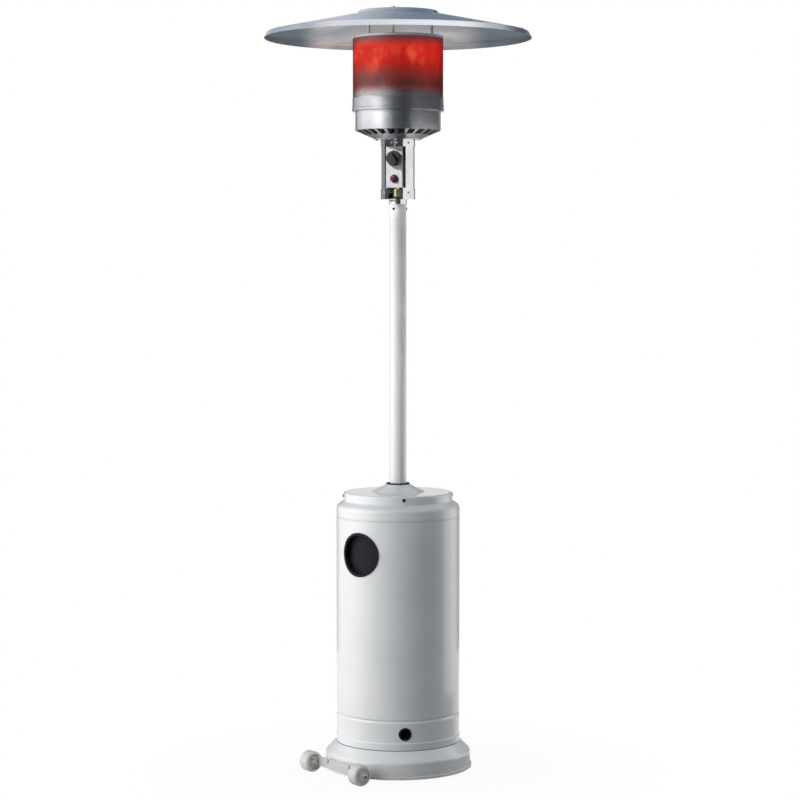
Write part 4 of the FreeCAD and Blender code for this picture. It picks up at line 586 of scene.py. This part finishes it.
def punched_screen(finish):
    """The emitter's wall, a drum punched with staggered holes.

    A lattice of half cells lies on the drum, two to a hole each way, and its row 0 is the drum's foot. The
    hole of column c and row r is centred on lattice point (2c + 1 + r mod 2, 2r + 2); eight quads join its
    eight lattice neighbours to the eight points of its rim, on the outer and the inner face, and eight more
    line it.
    """
    around, levels = 2 * SCREEN_COLUMNS, 2 * SCREEN_ROWS + 3
    low, high = COLLAR_TOP + SCREEN_MARGIN, CAP_EDGE - SCREEN_MARGIN
    heights = np.concatenate([[SCREEN_FOOT], np.linspace(low, high, levels - 2), [SCREEN_TOP]])
    azimuths = turns(around)
    half_step = np.array([azimuths[1] * SCREEN_RADIUS, heights[2] - heights[1]])
    walk = np.array([(-1, -1), (0, -1), (1, -1), (1, 0), (1, 1), (0, 1), (-1, 1), (-1, 0)])
    spread = walk * half_step
    rim = SCREEN_HOLE * spread / np.linalg.norm(spread, axis=1)[:, None]

    row = np.arange(SCREEN_ROWS)[:, None]
    middle_column = (2 * np.arange(SCREEN_COLUMNS)[None, :] + 1 + row % 2) % around
    middle_row = np.broadcast_to(2 * row + 2, middle_column.shape)
    hole_azimuth = azimuths[middle_column][..., None] + rim[:, 0] / SCREEN_RADIUS
    hole_height = heights[middle_row][..., None] + rim[:, 1]
    beside = (middle_column[..., None] + walk[:, 0]) % around
    neighbour = (middle_row[..., None] + walk[:, 1]) * around + beside

    lattice, holes = around * levels, SCREEN_ROWS * SCREEN_COLUMNS * len(walk)
    hole = lattice + np.arange(holes).reshape(neighbour.shape)
    inner = lattice + holes
    points = np.concatenate([
        np.concatenate([ring_points(radius, heights[:, None], azimuths[None, :]).reshape(-1, 3),
                        ring_points(radius, hole_height, hole_azimuth).reshape(-1, 3)])
        for radius in (SCREEN_RADIUS, SCREEN_RADIUS - SCREEN_SHEET)])

    next_neighbour, next_hole = np.roll(neighbour, -1, axis=-1), np.roll(hole, -1, axis=-1)
    face = np.stack([neighbour, next_neighbour, next_hole, hole], axis=-1).reshape(-1, 4)
    lining = np.stack([hole, next_hole, next_hole + inner, hole + inner], axis=-1).reshape(-1, 4)
    every = grid_quads(levels, around)
    ends = np.concatenate([every[:around], every[-around:]])
    face = np.concatenate([face, ends])
    bottom = np.arange(around)
    top = bottom + (levels - 1) * around
    foot_edge = np.stack([np.roll(bottom, -1), bottom, bottom + inner, np.roll(bottom, -1) + inner], axis=-1)
    top_edge = np.stack([top, np.roll(top, -1), np.roll(top, -1) + inner, top + inner], axis=-1)
    quads = np.concatenate([face, face[:, ::-1] + inner, lining, foot_edge, top_edge])
    used, compact = np.unique(quads, return_inverse=True)
    new_piece("punched_screen", points[used], compact.reshape(-1, 4), finish, "frame",
              ["emitter_screen"])


def seat_shade_strip(finish):
    """A black ring in the gap under the housing's hem, a painted shade line there: a ring with a square
    section.
    """
    inside, outside = HEM_RADIUS - STRIP_INSIDE, HEM_RADIUS - STRIP_OUTSIDE
    high = HEM_FOOT - STRIP_GAP
    low = high - STRIP_TALL
    reach = np.array([inside, outside, outside, inside])[:, None]
    level = np.array([low, low, high, high])[:, None]
    points = ring_points(reach, level, turns(SHEET_SIDES)[None, :])
    quads = grid_quads(len(reach), SHEET_SIDES, close_rows=True)
    new_piece("seat_shade_strip", points, quads, finish, "frame")


def crown_rivets(finish):
    """Rivet heads on the flank of the hat's crown.

    A head is a cap of height h (1 - s^2) at the share s of its radius, turned so that its axis leans out from
    the upright by the flank's own angle.
    """
    share = np.linspace(1, 0, RIVET_RINGS)[:, None]
    turn = turns(RIVET_SIDES)[None, :]
    around = RIVET_RADIUS * share * np.cos(turn)
    up_flank = RIVET_RADIUS * share * np.sin(turn)
    out = RIVET_RISE * (1 - share ** 2) + 0 * turn
    reach = RIVET_REACH + out * math.sin(RIVET_LEAN) - up_flank * math.cos(RIVET_LEAN)
    level = HAT_TOP - RIVET_DROP + out * math.cos(RIVET_LEAN) + up_flank * math.sin(RIVET_LEAN)
    heads = [ring_points(reach, level, azimuth + around / RIVET_REACH) for azimuth in RIVET_AZIMUTHS]
    quads = grid_quads(RIVET_RINGS, RIVET_SIDES)
    size = RIVET_RINGS * RIVET_SIDES
    every = np.concatenate([quads + number * size for number in range(len(heads))])
    new_piece("crown_rivets", np.concatenate(heads).reshape(-1, 3), every, finish, "frame")


def bracket_bar(finish):
    """The flat bar that joins the feet of the two wheel brackets: a box that lies along the base's rim."""
    outward = np.array(level_direction(WHEEL_AZIMUTH))
    across = np.array(level_direction(WHEEL_AZIMUTH + math.pi / 2))
    up = np.array([0.0, 0.0, 1.0])
    reach = BAR_SEAT + BAR_SHEET * np.array([0, 1, 1, 0])[:, None]
    level = np.array([BAR_FOOT, BAR_FOOT, BAR_TOP, BAR_TOP])[:, None]
    section = reach * outward + level * up
    points = np.concatenate([section - BAR_HALF_LENGTH * across, section + BAR_HALF_LENGTH * across])
    sides = grid_quads(2, len(section))[:, ::-1]
    ends = [(0, 1, 2, 3), (7, 6, 5, 4)]
    new_piece("bracket_bar", points, np.concatenate([sides, ends]), finish, "frame")


def dress_nodes(finishes):
    """Give every CAD node the finish of its record slot, or one of its own."""
    slots = {part["node"]: part["material_slot"] for part in frame["record"]["subparts"]}
    for name, node in frame["nodes"].items():
        node.data.materials.clear()
        node.data.materials.append(finishes.get(name) or finishes[slots[name]])


# Stage

def ray_kinds(tree):
    """Two masks: 1 for camera and see-through rays, and 1 for mirror rays."""
    rays = tree.node("ShaderNodeLightPath").socket.node.outputs
    kinds = ("Camera", "Transmission", "Glossy")
    camera, clear, mirror = (Wire(tree, rays[f"Is {kind} Ray"]) for kind in kinds)
    return camera.larger(clear), mirror


def compass(tree, toward, azimuth):
    """How far a direction of the surround points towards an azimuth from the camera's line, from -1 to 1."""
    return tree.dot(toward, level_direction(from_camera(azimuth)))


SQUARE = [(-1, -1), (1, -1), (1, 1), (-1, 1)]
SURROUND_WHITE = (1.0, 1.0, 1.0)
ROOM_TURN = 65
FLOOR_TURN = 25
ROOM_FRONT = (0.05, 0.052, 0.058)
ROOM_RIGHT = (0.095, 0.1, 0.11)
ABOVE_LEFT = (0.54, 0.61, 0.71)
ABOVE_RIGHT = (0.1, 0.115, 0.15)
CEILING_LEFT = (0.7, 0.71, 0.74)
CEILING_RIGHT = (0.9, 0.9, 0.92)
FILL_GREY = (0.172, 0.19, 0.204)
FLOOR_SEEN = (0.86, 0.86, 0.86)
FLOOR_BOUNCE = (0.53, 0.53, 0.53)
FLOOR_HALF_WIDTH = 30.0
FLOOR_SHADOW = (0.25, 0.9)
SPOT_BLEND = 0.6
SPOT_RADIUS = 0.03


def studio_world():
    """A white surround, whose dark front and right side show in metal only, and a low even fill."""
    world = bpy.data.worlds.new("studio")
    bpy.context.scene.world = world
    tree = Tree(world)
    plain, mirror = ray_kinds(tree)
    toward = tree.node("ShaderNodeTexCoord", output="Generated")
    up = tree.node("ShaderNodeSeparateXYZ", None, {"Vector": toward}, output=2)
    room = compass(tree, toward, 90).rise(0.3, 0.95).mix(ROOM_FRONT, ROOM_RIGHT)
    shown = compass(tree, toward, ROOM_TURN).rise(-0.25, 0.25).mix(SURROUND_WHITE, room)
    left = compass(tree, toward, -90)
    shown = up.rise(0.12, 0.28).mix(shown, left.rise(-0.25, 0.25).mix(ABOVE_RIGHT, ABOVE_LEFT))
    shown = up.rise(0.4, 0.55).mix(shown, left.rise(-0.6, 0.6).mix(CEILING_RIGHT, CEILING_LEFT))
    light = plain.mix(mirror.mix(FILL_GREY, shown), SURROUND_WHITE)
    background = tree.node("ShaderNodeBackground", None, {"Color": light})
    tree.node("ShaderNodeOutputWorld", None, {"Surface": background})


def pale_floor():
    """A white floor that keeps the soft shadow at the heater's foot and melts into the surround."""
    mesh = bpy.data.meshes.new("floor")
    corners = [(x * FLOOR_HALF_WIDTH, y * FLOOR_HALF_WIDTH, 0) for x, y in SQUARE]
    mesh.from_pydata(corners, [], [(0, 1, 2, 3)])
    finish = new_finish("floor_paper")
    plain, mirror = ray_kinds(finish)
    far = finish.reach().rise(*FLOOR_SHADOW)
    toward = finish.node("ShaderNodeVectorMath", {"operation": "NORMALIZE"}, {0: finish.place()})
    dark_side = compass(finish, toward, FLOOR_TURN).rise(-0.25, 0.25) * mirror
    paper = finish.node("ShaderNodeBsdfDiffuse", None, {"Color": plain.mix(FLOOR_BOUNCE, FLOOR_SEEN)})
    glow = dark_side.mix(SURROUND_WHITE, ROOM_FRONT)
    shine = finish.node("ShaderNodeEmission", None, {"Color": glow, "Strength": 1.0})
    share = plain * (0.95 + 0.05 * far) + mirror * 0.8
    mixed = finish.node("ShaderNodeMixShader", None, {0: share, 1: paper, 2: shine})
    finish.node("ShaderNodeOutputMaterial", None, {"Surface": mixed})
    mesh.materials.append(finish.owner)
    floor = bpy.data.objects.new("floor", mesh)
    bpy.context.scene.collection.objects.link(floor)


def studio_card(name, azimuth, distance, height, width, tall, shade):
    """An upright card that only metal sees, facing the post's axis at an azimuth from the camera's line."""
    turn = from_camera(azimuth)
    outward = np.array(level_direction(turn))
    across = np.array(level_direction(turn + math.pi / 2))
    sides = np.array(SQUARE) / 2
    corners = outward * distance + sides[:, :1] * width * across
    corners[:, 2] = height + sides[:, 1] * tall
    mesh = bpy.data.meshes.new(name)
    mesh.from_pydata(corners.tolist(), [], [(0, 1, 2, 3)])
    finish = new_finish(name)
    glow = finish.node("ShaderNodeEmission", None, {"Color": SURROUND_WHITE, "Strength": shade})
    finish.node("ShaderNodeOutputMaterial", None, {"Surface": glow})
    mesh.materials.append(finish.owner)
    card = bpy.data.objects.new(name, mesh)
    bpy.context.scene.collection.objects.link(card)
    card.visible_camera = False
    card.visible_diffuse = False
    card.visible_transmission = False
    card.visible_shadow = False


def hang(lamp, azimuth, distance, height, aim):
    """Put a lamp at an azimuth from the camera's line and aim it at a height on the post's axis."""
    holder = bpy.data.objects.new(lamp.name, lamp)
    bpy.context.scene.collection.objects.link(holder)
    turn = from_camera(azimuth)
    holder.location = (distance * math.sin(turn), -distance * math.cos(turn), height)
    tilt = math.atan2(height - aim, distance)
    holder.rotation_euler = (math.pi / 2 - tilt, 0, turn)
    holder.visible_camera = False
    return holder


def softbox(name, azimuth, distance, height, width, tall, radiance, aim, spread=180):
    """A softbox that metal doesn't mirror, with a spread of its light in degrees."""
    lamp = bpy.data.lights.new(name, "AREA")
    lamp.shape = "RECTANGLE"
    lamp.size = width
    lamp.size_y = tall
    lamp.spread = math.radians(spread)
    lamp.energy = radiance * math.pi * width * tall
    hang(lamp, azimuth, distance, height, aim).visible_glossy = False


def spot_lamp(name, azimuth, distance, height, watts, cone, aim):
    """A small hard lamp with a narrow cone."""
    lamp = bpy.data.lights.new(name, "SPOT")
    lamp.energy = watts
    lamp.spot_size = math.radians(cone)
    lamp.spot_blend = SPOT_BLEND
    lamp.shadow_soft_size = SPOT_RADIUS
    hang(lamp, azimuth, distance, height, aim)


def photo_camera():
    """The photograph's view: a long lens a little below the hat, tipped down, just right of the axis."""
    lens = bpy.data.cameras.new("photo_camera")
    lens.sensor_width = SENSOR_WIDTH
    lens.lens = FOCAL_PIXELS / PHOTO_WIDTH * SENSOR_WIDTH
    lens.clip_end = CAMERA_CLIP
    camera = bpy.data.objects.new("photo_camera", lens)
    bpy.context.scene.collection.objects.link(camera)
    aside = CAMERA_DISTANCE * math.sin(CAMERA_AZIMUTH)
    ahead = CAMERA_DISTANCE * math.cos(CAMERA_AZIMUTH)
    camera.location = (aside, -ahead, CAMERA_HEIGHT)
    swing = math.atan2(PHOTO_WIDTH / 2 - AXIS_PIXEL, FOCAL_PIXELS)
    camera.rotation_euler = (math.pi / 2 - CAMERA_PITCH, 0, CAMERA_AZIMUTH - swing)
    bpy.context.scene.camera = camera


hot = hot_screen()
rubber = dull_rubber()
chrome = chrome_plate("chrome_plate", dull_inside=0.0)
cast = cast_metal()
black_screw = moulded_plastic("black_screw_coat", (0.012, 0.012, 0.013), 0.3, 0.02 * MM)
cup_black = moulded_plastic("cup_moulding", (0.002, 0.002, 0.005), 0.65, 0.06 * MM)
grey_coat = powder_coat("grey_powder_coat", (0.62, 0.63, 0.62), 0.36)
bracket_coat = powder_coat("bracket_powder_coat", (0.62, 0.615, 0.59), 0.4)
dress_nodes({
    "white_enamel": powder_coat("white_powder_coat", (0.82, 0.825, 0.83), 0.3),
    "frame_paint": grey_coat,
    "wheel_bracket": bracket_coat,
    "wheel_axle": grey_coat,
    "bracket_bolts": grey_coat,
    "lifting_loops": powder_coat("loop_powder_coat", (0.42, 0.43, 0.41), 0.4),
    "rubber": rubber,
    "zinc_steel": zinc_plate(),
    "chrome": chrome,
    "brushed_steel": brushed_sheet("brushed_rings", (0.62, 0.63, 0.65), BRUSHED_AROUND, 0.17),
    "burner_steel": burnt_steel(),
    "glowing_screen": hot,
    "aluminium": hat_sheet(),
    "cast_alloy": cast,
    "brass": turned_brass(),
    "black_plastic": moulded_plastic("black_moulding", (0.012, 0.012, 0.014), 0.34, 0.06 * MM),
    "black_screw": black_screw,
    "red_plastic": moulded_plastic("red_moulding", (0.05, 0.003, 0.009), 0.2, 0.01 * MM),
    "wheel_plastic": wheel_painted_light(),
    "grip_cups": cup_black,
    "vent_bush": cup_black,
    "burner_bowl": soot_and_shade_bowl(),
    "emitter_collar": brushed_sheet("collar_sheet", (0.45, 0.455, 0.47), BRUSHED_AROUND, 0.2),
    "emitter_cap": brushed_sheet("cap_sheet", (0.86, 0.86, 0.87), BRUSHED_AROUND, 0.25, metal=0.5),
    "column_shell": chrome_plate("column_plating", dull_inside=1.0),
    "control_plate": brushed_sheet("satin_plate", (0.42, 0.41, 0.42), BRUSHED_UPRIGHT, 0.4, metal=0.3),
    "band_screws": cast,
    "post_screws": black_screw,
})
punched_screen(hot)
seat_shade_strip(rubber)
crown_rivets(chrome)
bracket_bar(bracket_coat)

bpy.context.scene.view_settings.view_transform = "Standard"
studio_world()
pale_floor()
softbox("key_box", azimuth=-72, distance=3.2, height=1.3, width=3.0, tall=2.7, radiance=4.35, aim=1.2)
softbox("edge_box", azimuth=118, distance=3.4, height=1.6, width=2.0, tall=3.4, radiance=2.7, aim=1.2)
softbox("top_box", azimuth=5, distance=2.1, height=4.6, width=3.4, tall=2.0, radiance=0.7, aim=2.2)
softbox("post_box", azimuth=12, distance=2.0, height=1.3, width=0.15, tall=0.8, radiance=0.45, aim=1.3,
        spread=20)
spot_lamp("plate_spot", azimuth=-55, distance=2.6, height=3.65, watts=900, cone=5, aim=1.84)
studio_card("left_card", azimuth=-77, distance=2.4, height=1.9, width=3.5, tall=2.4, shade=1.55)
studio_card("left_flag", azimuth=-156, distance=2.2, height=1.15, width=1.4, tall=2.3, shade=0.3)
studio_card("right_flag", azimuth=156, distance=2.2, height=1.15, width=1.4, tall=2.3, shade=0.3)
studio_card("edge_card", azimuth=107, distance=1.2, height=0.625, width=0.8, tall=1.17, shade=1.35)
studio_card("column_card", azimuth=82, distance=0.6, height=1.8, width=1.4, tall=0.3, shade=1.0)
studio_card("column_flag", azimuth=-62, distance=0.6, height=1.84, width=0.9, tall=0.21, shade=0.07)
studio_card("column_side", azimuth=-116, distance=0.6, height=1.84, width=0.45, tall=0.21, shade=0.33)
photo_camera()
